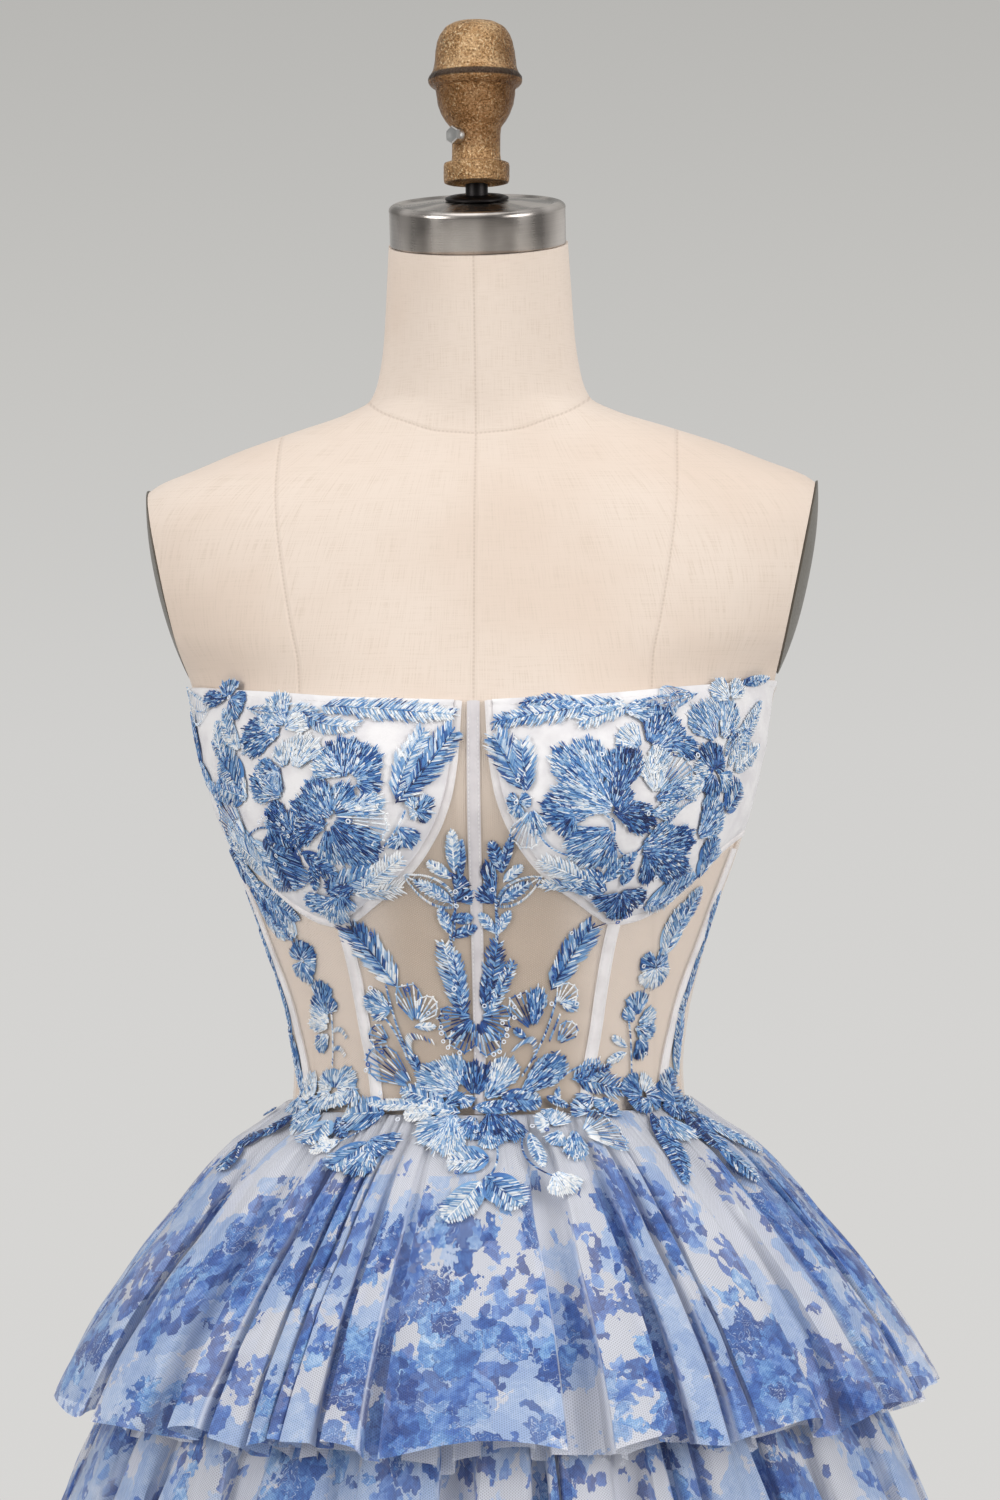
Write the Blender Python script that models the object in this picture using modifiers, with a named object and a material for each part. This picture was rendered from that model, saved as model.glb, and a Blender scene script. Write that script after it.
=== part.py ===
"""A strapless homecoming dress worn by a limbless dress form on its stand.

Metres, +Z up. The origin is the middle of the stand's base on the floor. The front of the dress faces -Y,
and +X is on the right of a viewer who stands in front of it.

The body is described by level sections. A place on it is an angle round the body, 0 at the centre front and
positive towards +X, and a height from the waist seam. Every bodice piece, bone and applique is laid out in
those two numbers and then moved out from the form along its normal, so nothing crosses at a seam.
"""
import math

import bmesh
import bpy
import numpy as np
from mathutils import Matrix, Vector

# Heights, from the floor or from the waist seam
WAIST = 1.040             # the waist seam above the floor
TORSO_BOTTOM = -0.335     # the form's flat underside, from the waist seam
NECK_TOP = 0.4965         # the flat cut of the neck, under the steel cap
NECK_TILT = math.radians(14)
NECK_BEND = 0.420         # the neck starts to lean forward here

# Cloth
SEAM_GAP = 0.0003         # between neighbouring pieces
FORM_GAP = 0.0010         # between the form and the bodice
NET_WALL = 0.0011
CUP_WALL = 0.0016
CUP_DOME = 0.0065         # how far a padded cup stands off the form at its middle
BONE_WALL = 0.0020
BONE_HALF = 0.0036        # half the width of a boning channel
WIRE_HALF = 0.0027        # half the width of the wire channel under a cup
TULLE_WALL = 0.0011
APPLIQUE_WALL = 0.0010
APPLIQUE_GAP = 0.0006
WAIST_GAP = 0.0014        # between the waist applique and the crests of the folds under it
WAIST_RADIUS = 0.115      # turns a width on the waist applique into an angle

# The armholes of the form are cut by a plane that leans in towards the waist, and closed by an oval plate
ARMHOLE_LOW = 0.210
FACE_X = 0.183
FACE_LEAN = 0.218
FACE_HEIGHT = 0.310
PLATE_HALF_HEIGHT = 0.057
PLATE_HALF_DEPTH = 0.047
PLATE_WALL = 0.0055
PLATE_HEIGHT = 0.301

# Level sections of the form: half width, depth in front of the axis and behind it, and how square the oval
# is, where 2 is an ellipse
SECTION_COLUMNS = ("height", "half_width", "front", "back", "square")
FORM_SECTIONS = (
    (-0.335, 0.1460, 0.0780, 0.0960, 2.10),
    (-0.310, 0.1600, 0.0880, 0.1080, 2.10),
    (-0.260, 0.1710, 0.0960, 0.1200, 2.10),
    (-0.200, 0.1720, 0.0980, 0.1220, 2.15),
    (-0.150, 0.1650, 0.0970, 0.1170, 2.15),
    (-0.100, 0.1500, 0.0950, 0.1070, 2.15),
    (-0.050, 0.1270, 0.0910, 0.0950, 2.15),
    (0.000, 0.1125, 0.0885, 0.0875, 2.15),
    (0.018, 0.1115, 0.0880, 0.0865, 2.15),
    (0.050, 0.1150, 0.0915, 0.0890, 2.15),
    (0.080, 0.1225, 0.0950, 0.0925, 2.15),
    (0.110, 0.1320, 0.0980, 0.0960, 2.15),
    (0.140, 0.1430, 0.1020, 0.0995, 2.15),
    (0.175, 0.1545, 0.1060, 0.1030, 2.15),
    (0.210, 0.1630, 0.1060, 0.1050, 2.15),
    (0.244, 0.1700, 0.1010, 0.1055, 2.20),
    (0.270, 0.1900, 0.0960, 0.1050, 2.30),
    (0.300, 0.2040, 0.0890, 0.1020, 2.30),
    (0.330, 0.2080, 0.0800, 0.0970, 2.25),
    (0.345, 0.2030, 0.0740, 0.0930, 2.20),
    (0.358, 0.1890, 0.0670, 0.0880, 2.15),
    (0.368, 0.1650, 0.0610, 0.0830, 2.10),
    (0.378, 0.1400, 0.0560, 0.0780, 2.10),
    (0.388, 0.1100, 0.0520, 0.0720, 2.10),
    (0.398, 0.0790, 0.0510, 0.0660, 2.05),
    (0.406, 0.0640, 0.0515, 0.0630, 2.00),
    (0.418, 0.0590, 0.0520, 0.0590, 2.00),
    (0.440, 0.0555, 0.0530, 0.0560, 2.00),
    (0.470, 0.0535, 0.0545, 0.0515, 2.00),
    (0.4965, 0.0520, 0.0560, 0.0480, 2.00),
)
# Heights of the rings that the form is lofted through
FORM_RINGS = (-0.335, -0.315, -0.260, -0.190, -0.120, -0.070, -0.030, 0.000, 0.022, 0.044, 0.068, 0.092,
              0.114, 0.134, 0.154, 0.174, 0.196, 0.222, 0.246, 0.272, 0.304, 0.334, 0.350, 0.362, 0.374,
              0.386, 0.397, 0.407, 0.425, 0.460, 0.4965)
FORM_SIDES = 32
FORM_INSET = 0.0022       # the form is this much smaller where the bodice hides it
HIDDEN_TOP = 0.250        # the bodice hides the form up to here

# The form's bust: a soft rise on each side of the front
BUST_ANGLE = math.radians(30)
BUST_HEIGHT = 0.170
BUST_RISE = 0.024
BUST_ACROSS = math.radians(19)
BUST_ABOVE = 0.052
BUST_BELOW = 0.042

# Edges of the bodice. Angles are in degrees, on the viewer's right; the left is their mirror image.
EDGE_COLUMNS = ("angle", "height")
TOP_EDGE = ((0, 0.2296), (30, 0.2318), (60, 0.2380), (80, 0.2412), (100, 0.2375), (140, 0.2200), (180, 0.2050))
CUP_WIRE = ((4.6, 0.2297), (5.2, 0.2050), (6.6, 0.1820), (9.2, 0.1650), (13.0, 0.1510), (17.5, 0.1390),
            (23.0, 0.1290), (29.0, 0.1205), (34.5, 0.1130), (40.0, 0.1078), (46.0, 0.1095), (54.0, 0.1170),
            (61.0, 0.1280), (68.0, 0.1415), (75.0, 0.1500), (82.0, 0.1545))
SEAM_COLUMNS = ("height", "angle")
PRINCESS_SEAM = ((0.000, 36.4), (0.058, 39.6), (0.109, 40.0))
SIDE_BONE = ((0.000, 65.5), (0.041, 70.0), (0.070, 73.0), (0.098, 77.0), (0.156, 80.0))
SIDE_SEAM = ((0.000, 90.0), (0.032, 88.0), (0.075, 85.5), (0.115, 83.5), (0.245, 82.0))
BACK_BONE = ((0.000, 128.0), (0.100, 130.0), (0.235, 133.0))
WIRE_LOW = 9              # the row of CUP_WIRE where the princess seam meets it
CORNER_TRIM = 0.0006      # how far the princess seam's corners stay under the bend of the wire channel
SIDE_RADIUS = 0.120       # turns a gap at the side seam into an angle
SIDE_TOP = 0.2400         # where the side seam meets the top edge
SIDE_PANEL_TOP = 0.1480
SIDE_BONE_TOP = 0.1462
ZIP_HALF = 0.0040
PANEL_ROWS = 7            # rows of a front or side panel, shared by the bones beside it
CUP_ROWS = 6
BONE_ROWS = 12
BACK_ROWS = 8
BACK_PANEL_COLUMNS = 5
DOME_ACROSS = 0.50        # how square the cup's dome is across and up, and how low its middle lies
DOME_UP = 0.55
DOME_LOW = 0.80

# Radial profile of each skirt layer before its folds: depths are in front of the axis and behind it
SKIRT_COLUMNS = ("height", "half_width", "front", "back", "square", "wave")
TIER_1 = (
    (-0.1650, 0.2450, 0.2220, 0.2280, 2.00, 0.0100),
    (-0.1390, 0.2340, 0.2090, 0.2150, 2.00, 0.0092),
    (-0.1040, 0.2130, 0.1870, 0.1930, 2.00, 0.0080),
    (-0.0700, 0.1875, 0.1590, 0.1660, 2.02, 0.0066),
    (-0.0460, 0.1685, 0.1390, 0.1460, 2.05, 0.0054),
    (-0.0230, 0.1480, 0.1180, 0.1240, 2.10, 0.0038),
    (-0.0120, 0.1320, 0.1050, 0.1090, 2.13, 0.0026),
    (-0.0004, 0.1180, 0.0940, 0.0930, 2.15, 0.0012),
)
TIER_2 = (
    (-0.3080, 0.2650, 0.2450, 0.2500, 2.00, 0.0105),
    (-0.2320, 0.2425, 0.2210, 0.2270, 2.00, 0.0090),
    (-0.1860, 0.2245, 0.2030, 0.2090, 2.00, 0.0070),
    (-0.1400, 0.2043, 0.1813, 0.1883, 2.00, 0.0016),
)
TIER_3 = (
    (-0.4500, 0.2860, 0.2660, 0.2710, 2.00, 0.0110),
    (-0.3700, 0.2620, 0.2410, 0.2460, 2.00, 0.0090),
    (-0.3300, 0.2470, 0.2255, 0.2305, 2.00, 0.0070),
    (-0.2850, 0.2273, 0.2058, 0.2108, 2.00, 0.0016),
)
UNDERSKIRT = (
    (-0.4300, 0.2520, 0.2310, 0.2360, 2.00, 0.0),
    (-0.3600, 0.2395, 0.2180, 0.2230, 2.00, 0.0),
    (-0.2850, 0.2235, 0.2020, 0.2070, 2.00, 0.0),
    (-0.2000, 0.2120, 0.1895, 0.1960, 2.00, 0.0),
    (-0.1400, 0.2005, 0.1775, 0.1845, 2.00, 0.0),
    (-0.0700, 0.1700, 0.1420, 0.1490, 2.02, 0.0),
    (-0.0460, 0.1520, 0.1240, 0.1310, 2.05, 0.0),
    (-0.0230, 0.1320, 0.1060, 0.1110, 2.10, 0.0),
    (-0.0100, 0.1210, 0.0960, 0.0985, 2.14, 0.0),
    (-0.0004, 0.1145, 0.0905, 0.0895, 2.15, 0.0),
)
# Each tier: its profile, how many folds go round it and the heights of its rings
TIER_COLUMNS = ("name", "profile", "folds", "drift", "heights")
TIERS = (
    ("tier_1", TIER_1, 38, 0.0, (-0.165, -0.100, -0.045, -0.014, -0.0004)),
    ("tier_2", TIER_2, 38, 1.3, (-0.308, -0.186, -0.140)),
    ("tier_3", TIER_3, 40, 2.9, (-0.450, -0.330, -0.285)),
)
UNDERSKIRT_HEIGHTS = (-0.430, -0.285, -0.140, -0.046, -0.012, -0.0004)
UNDERSKIRT_SIDES = 32
FOLD_CORNERS = (45, 135, 225, 315)      # each fold's four columns, in degrees of its wave
# Folds crowd and differ in depth by sums of waves: how much, how many round the skirt, how far the drift
# of the layer turns it, and where it starts
WAVE_COLUMNS = ("reach", "times", "drift", "start")
CROWDING = ((0.055, 3, 1.0, 0.0), (0.035, 7, 2.0, 0.0), (0.020, 11, 0.0, 1.0))
DEPTHS = ((0.22, 5, 1.0, 0.0), (0.14, 13, 2.2, 0.0))

# Applique motifs: where the middle lies, half sizes along and across, turn, petals and how deep they are cut
MOTIF_COLUMNS = ("name", "ground", "angle", "height", "along", "across", "turn", "petals", "cut")
MOTIFS = (
    ("cup_spray", "cup", 33.0, 0.2235, 0.0420, 0.0060, 4, 5, 0.30),
    ("cup_flower", "cup", 35.0, 0.1900, 0.0250, 0.0200, 20, 5, 0.26),
    ("cup_leaf", "cup", 17.0, 0.1820, 0.0260, 0.0080, 112, 4, 0.22),
    ("cup_side_flower", "cup", 62.0, 0.2130, 0.0190, 0.0150, 60, 5, 0.26),
    ("cup_foot_leaves", "cup", 45.0, 0.1310, 0.0240, 0.0080, 8, 5, 0.28),
    ("front_frond", "panel", 25.5, 0.0640, 0.0300, 0.0075, 112, 4, 0.25),
    ("side_sprig", "panel", 56.0, 0.0600, 0.0330, 0.0080, 82, 5, 0.28),
    ("waist_leaves", "waist", 30.0, -0.0330, 0.0330, 0.0150, 150, 5, 0.30),
    ("waist_spray", "waist", 62.0, -0.0240, 0.0420, 0.0110, 168, 5, 0.30),
)
CENTRE_MOTIFS = (
    ("front_butterfly", "panel_bone", 0.0, 0.0560, 0.0220, 0.0140, 90, 4, 0.34),
    ("waist_flower", "waist", -4.0, -0.0050, 0.0240, 0.0170, 0, 5, 0.26),
    ("waist_drop", "waist", 3.0, -0.0420, 0.0260, 0.0150, 80, 5, 0.30),
)
PETAL_CORNERS = (-60, 60, 180)          # each petal's three corners, in degrees of its wave

# Stand
POLE_RADIUS = 0.016
POLE_STEPS = 20
BASE_RADIUS = 0.210
BASE_HEIGHT = 0.030
BASE_STEPS = 30
COLLAR_TOP = 0.085
COLLAR_STEPS = 18

# Neck cap and finial
CAP_RADIUS = 0.0510
CAP_BAND = 0.024
CAP_ROLL = 0.005          # radius of the cap's rolled edge
CAP_CROWN = 0.0015        # how much the cap's top rises to its middle
CAP_STEPS = 26
WASHER_RADIUS = 0.0185
WASHER_WALL = 0.003
WASHER_STEPS = 16
ROD_RADIUS = 0.0065
ROD_STEPS = 12
FINIAL_FOOT = 0.5300      # the foot of the finial, from the waist seam
FINIAL_NECK = 0.0140      # radius of the finial where the screw goes in
FINIAL_STEPS = 18
# Radius and height of the finial's outline, from its top down
FINIAL_PROFILE = ((0, 0.0940), (0.0100, 0.0925), (0.0175, 0.0875), (0.0220, 0.0785), (0.0232, 0.0665),
                  (0.0272, 0.0640), (0.0272, 0.0575), (0.0232, 0.0550), (0.0195, 0.0430),
                  (FINIAL_NECK, 0.0325), (FINIAL_NECK, 0.0165), (0.0190, 0.0130), (0.0190, 0), (0, 0))
SCREW_HEIGHT = 0.0262     # above the finial's foot
SCREW_TURN = math.radians(-42)
SCREW_RADIUS = 0.0053
SCREW_LONG = 0.0060

# Zip slider and pull
SLIDER_TOP = 0.2010
SLIDER_WIDE = 0.0066
SLIDER_LONG = 0.0090
SLIDER_DEEP = 0.0024
SLIDER_CLEAR = 0.0004     # the curved back keeps the straight slider this much further off the tape
BAIL_HALF = 0.0030
BAIL_RISE = 0.0042
BAIL_SUNK = 0.0008        # how deep the bail's feet are let into the slider
BAIL_WIRE = 0.00055
BAIL_STEPS = 8
PULL_AXIS = 0.0017        # the pull hangs this far above the slider's face
PULL_LENGTH = 0.024
PULL_HALF = 0.0032
PULL_WALL = 0.0010
PULL_NECK = 0.0024        # half the width of the pull where it hangs
PULL_SHOULDER = 0.0060
WINDOW_HALF = 0.0014
WINDOW_LOW = 0.0056

COLLECTION = "homecoming_dress"
CUTTERS = "cutters"


def clear_scene():
    for item in list(bpy.data.objects):
        bpy.data.objects.remove(item)


def collection(name):
    made = bpy.data.collections.new(name)
    bpy.context.scene.collection.children.link(made)
    return made


def material(name, colour, roughness, metallic=0.0):
    made = bpy.data.materials.new(name)
    made.use_nodes = True
    shader = made.node_tree.nodes["Principled BSDF"]
    shader.inputs["Base Color"].default_value = (*colour, 1.0)
    shader.inputs["Roughness"].default_value = roughness
    shader.inputs["Metallic"].default_value = metallic
    made.diffuse_color = (*colour, 1.0)
    return made


def curve_through(across, up, at):
    """Height at each place of a smooth curve through the points, which never overshoots them."""
    across = np.asarray(across, float)
    up = np.asarray(up, float)
    at = np.clip(np.asarray(at, float), across[0], across[-1])
    step = np.diff(across)
    slope = np.diff(up) / step
    tangent = np.zeros(len(up))
    tangent[0] = slope[0]
    tangent[-1] = slope[-1]
    for index in range(1, len(up) - 1):
        product = slope[index - 1] * slope[index]
        if product > 0:
            tangent[index] = 2 * product / (slope[index - 1] + slope[index])
    left = np.clip(np.searchsorted(across, at) - 1, 0, len(across) - 2)
    part = (at - across[left]) / step[left]
    rest = 1 - part
    return ((1 + 2 * part) * rest ** 2 * up[left] + part * rest ** 2 * step[left] * tangent[left]
            + part ** 2 * (3 - 2 * part) * up[left + 1] - part ** 2 * rest * step[left] * tangent[left + 1])


def column(table, columns, name):
    """All the values in one column of a table."""
    index = columns.index(name)
    return [row[index] for row in table]


def read(table, columns, name, at):
    """One column of a table at a place along its first column."""
    return curve_through(column(table, columns, columns[0]), column(table, columns, name), at)


def oval(angle, half_width, front, back, square):
    """Radius of a section whose front and back halves have their own depth."""
    depth = np.where(np.cos(angle) >= 0, front, back)
    return (np.abs(np.sin(angle) / half_width) ** square + np.abs(np.cos(angle) / depth) ** square) ** (-1 / square)


def bust(angle, height):
    """How far the bust stands out of the plain section."""
    rise = 0.0
    above = height - BUST_HEIGHT
    upright = np.where(above > 0, above / BUST_ABOVE, above / BUST_BELOW)
    for side in (-1, 1):
        across = (angle - side * BUST_ANGLE) / BUST_ACROSS
        rise = rise + BUST_RISE * np.exp(-0.5 * (across ** 2 + upright ** 2))
    return rise


def form_surface(angle, height):
    """Points of the form's skin, from angles in radians and heights from the waist seam."""
    angle = np.asarray(angle, float)
    height = np.asarray(height, float)
    sizes = [read(FORM_SECTIONS, SECTION_COLUMNS, name, height) for name in SECTION_COLUMNS[1:]]
    radius = oval(angle, *sizes) + bust(angle, height)
    x = radius * np.sin(angle)
    y = -radius * np.cos(angle)
    face = FACE_X + FACE_LEAN * (height - FACE_HEIGHT)
    x = np.where(height > ARMHOLE_LOW, np.clip(x, -face, face), x)
    lean = np.clip((height - NECK_BEND) / (NECK_TOP - NECK_BEND), 0, 1)
    lean = lean * lean * (3 - 2 * lean)
    z = WAIST + height + y * math.tan(NECK_TILT) * lean
    return np.stack([x, y, z], -1)


def body_point(angle, height, out):
    """Points moved out from the form along its normal."""
    step = 1e-4
    angle = np.asarray(angle, float)
    height = np.asarray(height, float)
    around = form_surface(angle + step, height) - form_surface(angle - step, height)
    upward = form_surface(angle, height + step) - form_surface(angle, height - step)
    normal = np.cross(around, upward)
    normal /= np.linalg.norm(normal, axis=-1, keepdims=True)
    return form_surface(angle, height) + normal * np.asarray(out, float)[..., None]


def flat_radius(height):
    """Radius that turns a width on the body into an angle."""
    return read(FORM_SECTIONS, SECTION_COLUMNS, "front", height) + 0.010


def link_mesh(name, mesh, made_of, group):
    piece = bpy.data.objects.new(name, mesh)
    piece.data.materials.append(made_of)
    group.objects.link(piece)
    return piece


def finish_mesh(name, work, made_of, group, smooth=35):
    """Turn a bmesh into a named object with smooth faces and sharp edges where it turns fast."""
    mesh = bpy.data.meshes.new(name)
    work.to_mesh(mesh)
    work.free()
    mesh.shade_smooth()
    mesh.set_sharp_from_angle(angle=math.radians(smooth))
    return link_mesh(name, mesh, made_of, group)


def wall(name, inner, outer, made_of, group, closed=False):
    """A wall of cloth between two skins, each a grid of points: rows go up, columns go towards +X in front."""
    rows, columns = inner.shape[:2]
    work = bmesh.new()
    skins = []
    for skin in (inner, outer):
        skins.append([[work.verts.new(point) for point in row] for row in skin])
    inside, outside = skins
    last = columns if closed else columns - 1
    for row in range(rows - 1):
        for column in range(last):
            after = (column + 1) % columns
            work.faces.new((outside[row][column], outside[row][after],
                            outside[row + 1][after], outside[row + 1][column]))
            work.faces.new((inside[row][column], inside[row + 1][column],
                            inside[row + 1][after], inside[row][after]))
    for column in range(last):
        after = (column + 1) % columns
        work.faces.new((inside[0][column], inside[0][after], outside[0][after], outside[0][column]))
        work.faces.new((outside[-1][column], outside[-1][after], inside[-1][after], inside[-1][column]))
    if not closed:
        for row in range(rows - 1):
            work.faces.new((inside[row + 1][0], inside[row][0], outside[row][0], outside[row + 1][0]))
            work.faces.new((inside[row][-1], inside[row + 1][-1], outside[row + 1][-1], outside[row][-1]))
    return finish_mesh(name, work, made_of, group)


def loft(name, rings, made_of, group):
    """A solid through level rings, closed by a flat face at each end."""
    work = bmesh.new()
    loops = [[work.verts.new(point) for point in ring] for ring in rings]
    for low, high in zip(loops, loops[1:]):
        for index in range(len(low)):
            after = (index + 1) % len(low)
            work.faces.new((low[index], low[after], high[after], high[index]))
    work.faces.new(loops[0][::-1])
    work.faces.new(loops[-1])
    return finish_mesh(name, work, made_of, group)


def turned(name, profile, made_of, group, steps):
    """A turned piece: its profile runs down the outer side, from the axis to the axis."""
    work = bmesh.new()
    corners = [work.verts.new((radius, 0, height)) for radius, height in profile]
    for upper, lower in zip(corners, corners[1:]):
        work.edges.new((upper, lower))
    mesh = bpy.data.meshes.new(name)
    work.to_mesh(mesh)
    work.free()
    piece = link_mesh(name, mesh, made_of, group)
    screw = piece.modifiers.new("turn", "SCREW")
    screw.steps = steps
    screw.render_steps = steps
    screw.use_merge_vertices = True
    screw.merge_threshold = 0.00001
    screw.use_smooth_shade = True
    return piece


def place(piece, location, rotation=(0, 0, 0)):
    piece.location = location
    piece.rotation_euler = rotation
    return piece


# The form and its stand

def make_torso(made_of, group):
    angles = np.linspace(-math.pi, math.pi, FORM_SIDES, endpoint=False) + math.pi / FORM_SIDES
    rings = []
    for height in FORM_RINGS:
        hidden = 0.0 < height < HIDDEN_TOP
        inset = -FORM_INSET if hidden else 0.0
        rings.append(body_point(angles, np.full(FORM_SIDES, height), np.full(FORM_SIDES, inset)))
    return loft("form_torso", rings, made_of, group)


def make_plates(made_of, group):
    """Oval plates that close the armholes, lying on the slanted cuts."""
    lean = math.atan(FACE_LEAN)
    middle = FACE_X + FACE_LEAN * (PLATE_HEIGHT - FACE_HEIGHT)
    away = SEAM_GAP + PLATE_WALL / 2
    for side, name in ((-1, "armhole_plate_left"), (1, "armhole_plate_right")):
        work = bmesh.new()
        bmesh.ops.create_cone(work, cap_ends=True, segments=22, radius1=1, radius2=1, depth=PLATE_WALL)
        bmesh.ops.scale(work, vec=(PLATE_HALF_HEIGHT, PLATE_HALF_DEPTH, 1), verts=work.verts)
        piece = finish_mesh(name, work, made_of, group)
        edge = piece.modifiers.new("round rim", "BEVEL")
        edge.width = 0.0018
        edge.segments = 1
        edge.limit_method = "ANGLE"
        x = side * (middle + away * math.cos(lean))
        place(piece, (x, 0.004, WAIST + PLATE_HEIGHT - away * math.sin(lean)),
              (0, side * (math.pi / 2 + lean), 0))


def make_neck_cap(made_of, group):
    """Steel cap with a rolled upper edge, tilted with the neck, and its dark washer."""
    top = CAP_BAND
    profile = [(0, top + CAP_CROWN), (WASHER_RADIUS + 0.008, top + 0.0010), (CAP_RADIUS - CAP_ROLL - 0.001, top)]
    for turn in (35, 70):
        bend = math.radians(turn)
        profile.append((CAP_RADIUS - CAP_ROLL * (1 - math.sin(bend)), top - CAP_ROLL * (1 - math.cos(bend))))
    profile += [(CAP_RADIUS, top - CAP_ROLL - 0.001), (CAP_RADIUS, 0), (0, 0)]
    cap = turned("neck_cap", profile, made_of["steel"], group, CAP_STEPS)
    lift = Vector((0, -math.sin(NECK_TILT), math.cos(NECK_TILT)))
    cut = dict(zip(SECTION_COLUMNS, FORM_SECTIONS[-1]))
    middle = (cut["back"] - cut["front"]) / 2
    foot = Vector((0, middle, WAIST + NECK_TOP + middle * math.tan(NECK_TILT)))
    place(cap, foot + lift * SEAM_GAP, (NECK_TILT, 0, 0))
    washer = turned("cap_washer", [(0, WASHER_WALL), (WASHER_RADIUS - 0.001, WASHER_WALL),
                                   (WASHER_RADIUS, WASHER_WALL - 0.001), (WASHER_RADIUS, 0), (0, 0)],
                    made_of["dark"], group, WASHER_STEPS)
    washer_foot = top + CAP_CROWN + 2 * SEAM_GAP
    place(washer, foot + lift * washer_foot, (NECK_TILT, 0, 0))
    return foot + lift * (washer_foot + WASHER_WALL)


def make_finial(made_of, group, seat):
    """Black rod and cast finial over the neck cap, with the hexagon screw that clamps it."""
    foot = WAIST + FINIAL_FOOT
    rod_bottom = seat.z + ROD_RADIUS * math.tan(NECK_TILT) + 2 * SEAM_GAP
    work = bmesh.new()
    bmesh.ops.create_cone(work, cap_ends=True, segments=ROD_STEPS, radius1=ROD_RADIUS, radius2=ROD_RADIUS,
                          depth=foot - SEAM_GAP - rod_bottom)
    rod = finish_mesh("finial_rod", work, made_of["dark"], group)
    place(rod, (0, seat.y, (foot - SEAM_GAP + rod_bottom) / 2))
    finial = turned("finial", FINIAL_PROFILE, made_of["brass"], group, FINIAL_STEPS)
    place(finial, (0, seat.y, foot))
    work = bmesh.new()
    bmesh.ops.create_cone(work, cap_ends=True, segments=6, radius1=SCREW_RADIUS, radius2=SCREW_RADIUS - 0.0003,
                          depth=SCREW_LONG)
    screw = finish_mesh("set_screw", work, made_of["steel"], group, smooth=25)
    out = FINIAL_NECK + SEAM_GAP + SCREW_LONG / 2
    place(screw, (out * math.sin(SCREW_TURN), seat.y - out * math.cos(SCREW_TURN), foot + SCREW_HEIGHT),
          (math.pi / 2, 0, SCREW_TURN))


def make_stand(made_of, group):
    base = turned("stand_base", ((0, BASE_HEIGHT), (0.060, BASE_HEIGHT - 0.001), (0.150, BASE_HEIGHT - 0.009),
                                 (BASE_RADIUS - 0.008, 0.0125), (BASE_RADIUS, 0.0060),
                                 (BASE_RADIUS - 0.003, 0), (0, 0)),
                  made_of["dark"], group, BASE_STEPS)
    place(base, (0, 0, 0))
    low = BASE_HEIGHT + SEAM_GAP
    bore = POLE_RADIUS + SEAM_GAP
    collar = turned("pole_collar", ((bore, COLLAR_TOP), (POLE_RADIUS + 0.006, COLLAR_TOP - 0.001),
                                    (POLE_RADIUS + 0.008, COLLAR_TOP - 0.006), (POLE_RADIUS + 0.010, low + 0.015),
                                    (POLE_RADIUS + 0.026, low), (bore, low), (bore, COLLAR_TOP)),
                    made_of["steel"], group, COLLAR_STEPS)
    place(collar, (0, 0, 0))
    high = WAIST + TORSO_BOTTOM - SEAM_GAP
    work = bmesh.new()
    bmesh.ops.create_cone(work, cap_ends=True, segments=POLE_STEPS, radius1=POLE_RADIUS, radius2=POLE_RADIUS,
                          depth=high - low)
    pole = finish_mesh("stand_pole", work, made_of["steel"], group)
    place(pole, (0, 0, (low + high) / 2))


# The bodice. A line on it is a list of (angle in radians, height) pairs.

def offset_line(line, away):
    """A line moved sideways on the cloth, to the left of its direction."""
    points = np.asarray(line, float)
    radius = flat_radius(points[:, 1])
    run = np.gradient(points[:, 0]) * radius
    rise = np.gradient(points[:, 1])
    length = np.hypot(run, rise)
    moved = points.copy()
    moved[:, 0] -= away * rise / length / radius
    moved[:, 1] += away * run / length
    return moved


def wire_line():
    angles = np.radians(column(CUP_WIRE, EDGE_COLUMNS, "angle"))
    return np.stack([angles, column(CUP_WIRE, EDGE_COLUMNS, "height")], -1)


def top_height(angle):
    return read(TOP_EDGE, EDGE_COLUMNS, "height", np.abs(np.degrees(angle)))


def seam_angle(table, height):
    return np.radians(read(table, SEAM_COLUMNS, "angle", height))


def between(lower, upper, rows):
    """A grid of (angle, height) pairs between a lower and an upper line with as many points."""
    part = np.linspace(0, 1, rows + 1)[:, None, None]
    return np.asarray(lower)[None] * (1 - part) + np.asarray(upper)[None] * part


def layout_wall(name, layout, low, high, made_of, group, side):
    """A wall over a layout grid, from one distance off the form to another. The left side is mirrored."""
    angle = layout[..., 0]
    inner = body_point(angle, layout[..., 1], low)
    outer = body_point(angle, layout[..., 1], high)
    if side < 0:
        flip = np.array((-1.0, 1.0, 1.0))
        inner = inner[:, ::-1] * flip
        outer = outer[:, ::-1] * flip
    return wall(name, inner, outer, made_of, group)


def dome(angle, height):
    """How far a cup stands off the form: nothing at its edge, most at its middle."""
    wire = wire_line()
    first = wire[0, 0]
    last = seam_angle(SIDE_SEAM, SIDE_TOP)
    across = np.clip((angle - first) / (last - first), 0, 1)
    low = np.interp(angle, wire[:, 0], wire[:, 1])
    up = np.clip((height - low) / np.maximum(top_height(angle) - low, 1e-4), 0, 1)
    return CUP_DOME * np.sin(math.pi * across) ** DOME_ACROSS * np.sin(math.pi * up ** DOME_LOW) ** DOME_UP


def strip_layout(heights, table, half):
    """A straight-sided strip along a seam."""
    middle = seam_angle(table, heights)
    reach = half / flat_radius(heights)
    columns = [np.stack([middle + side * reach, heights], -1) for side in (-1, 1)]
    return np.stack(columns, 1)


def side_gap():
    """Half the gap at the side seam, as an angle."""
    return 0.5 * SEAM_GAP / SIDE_RADIUS


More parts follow.
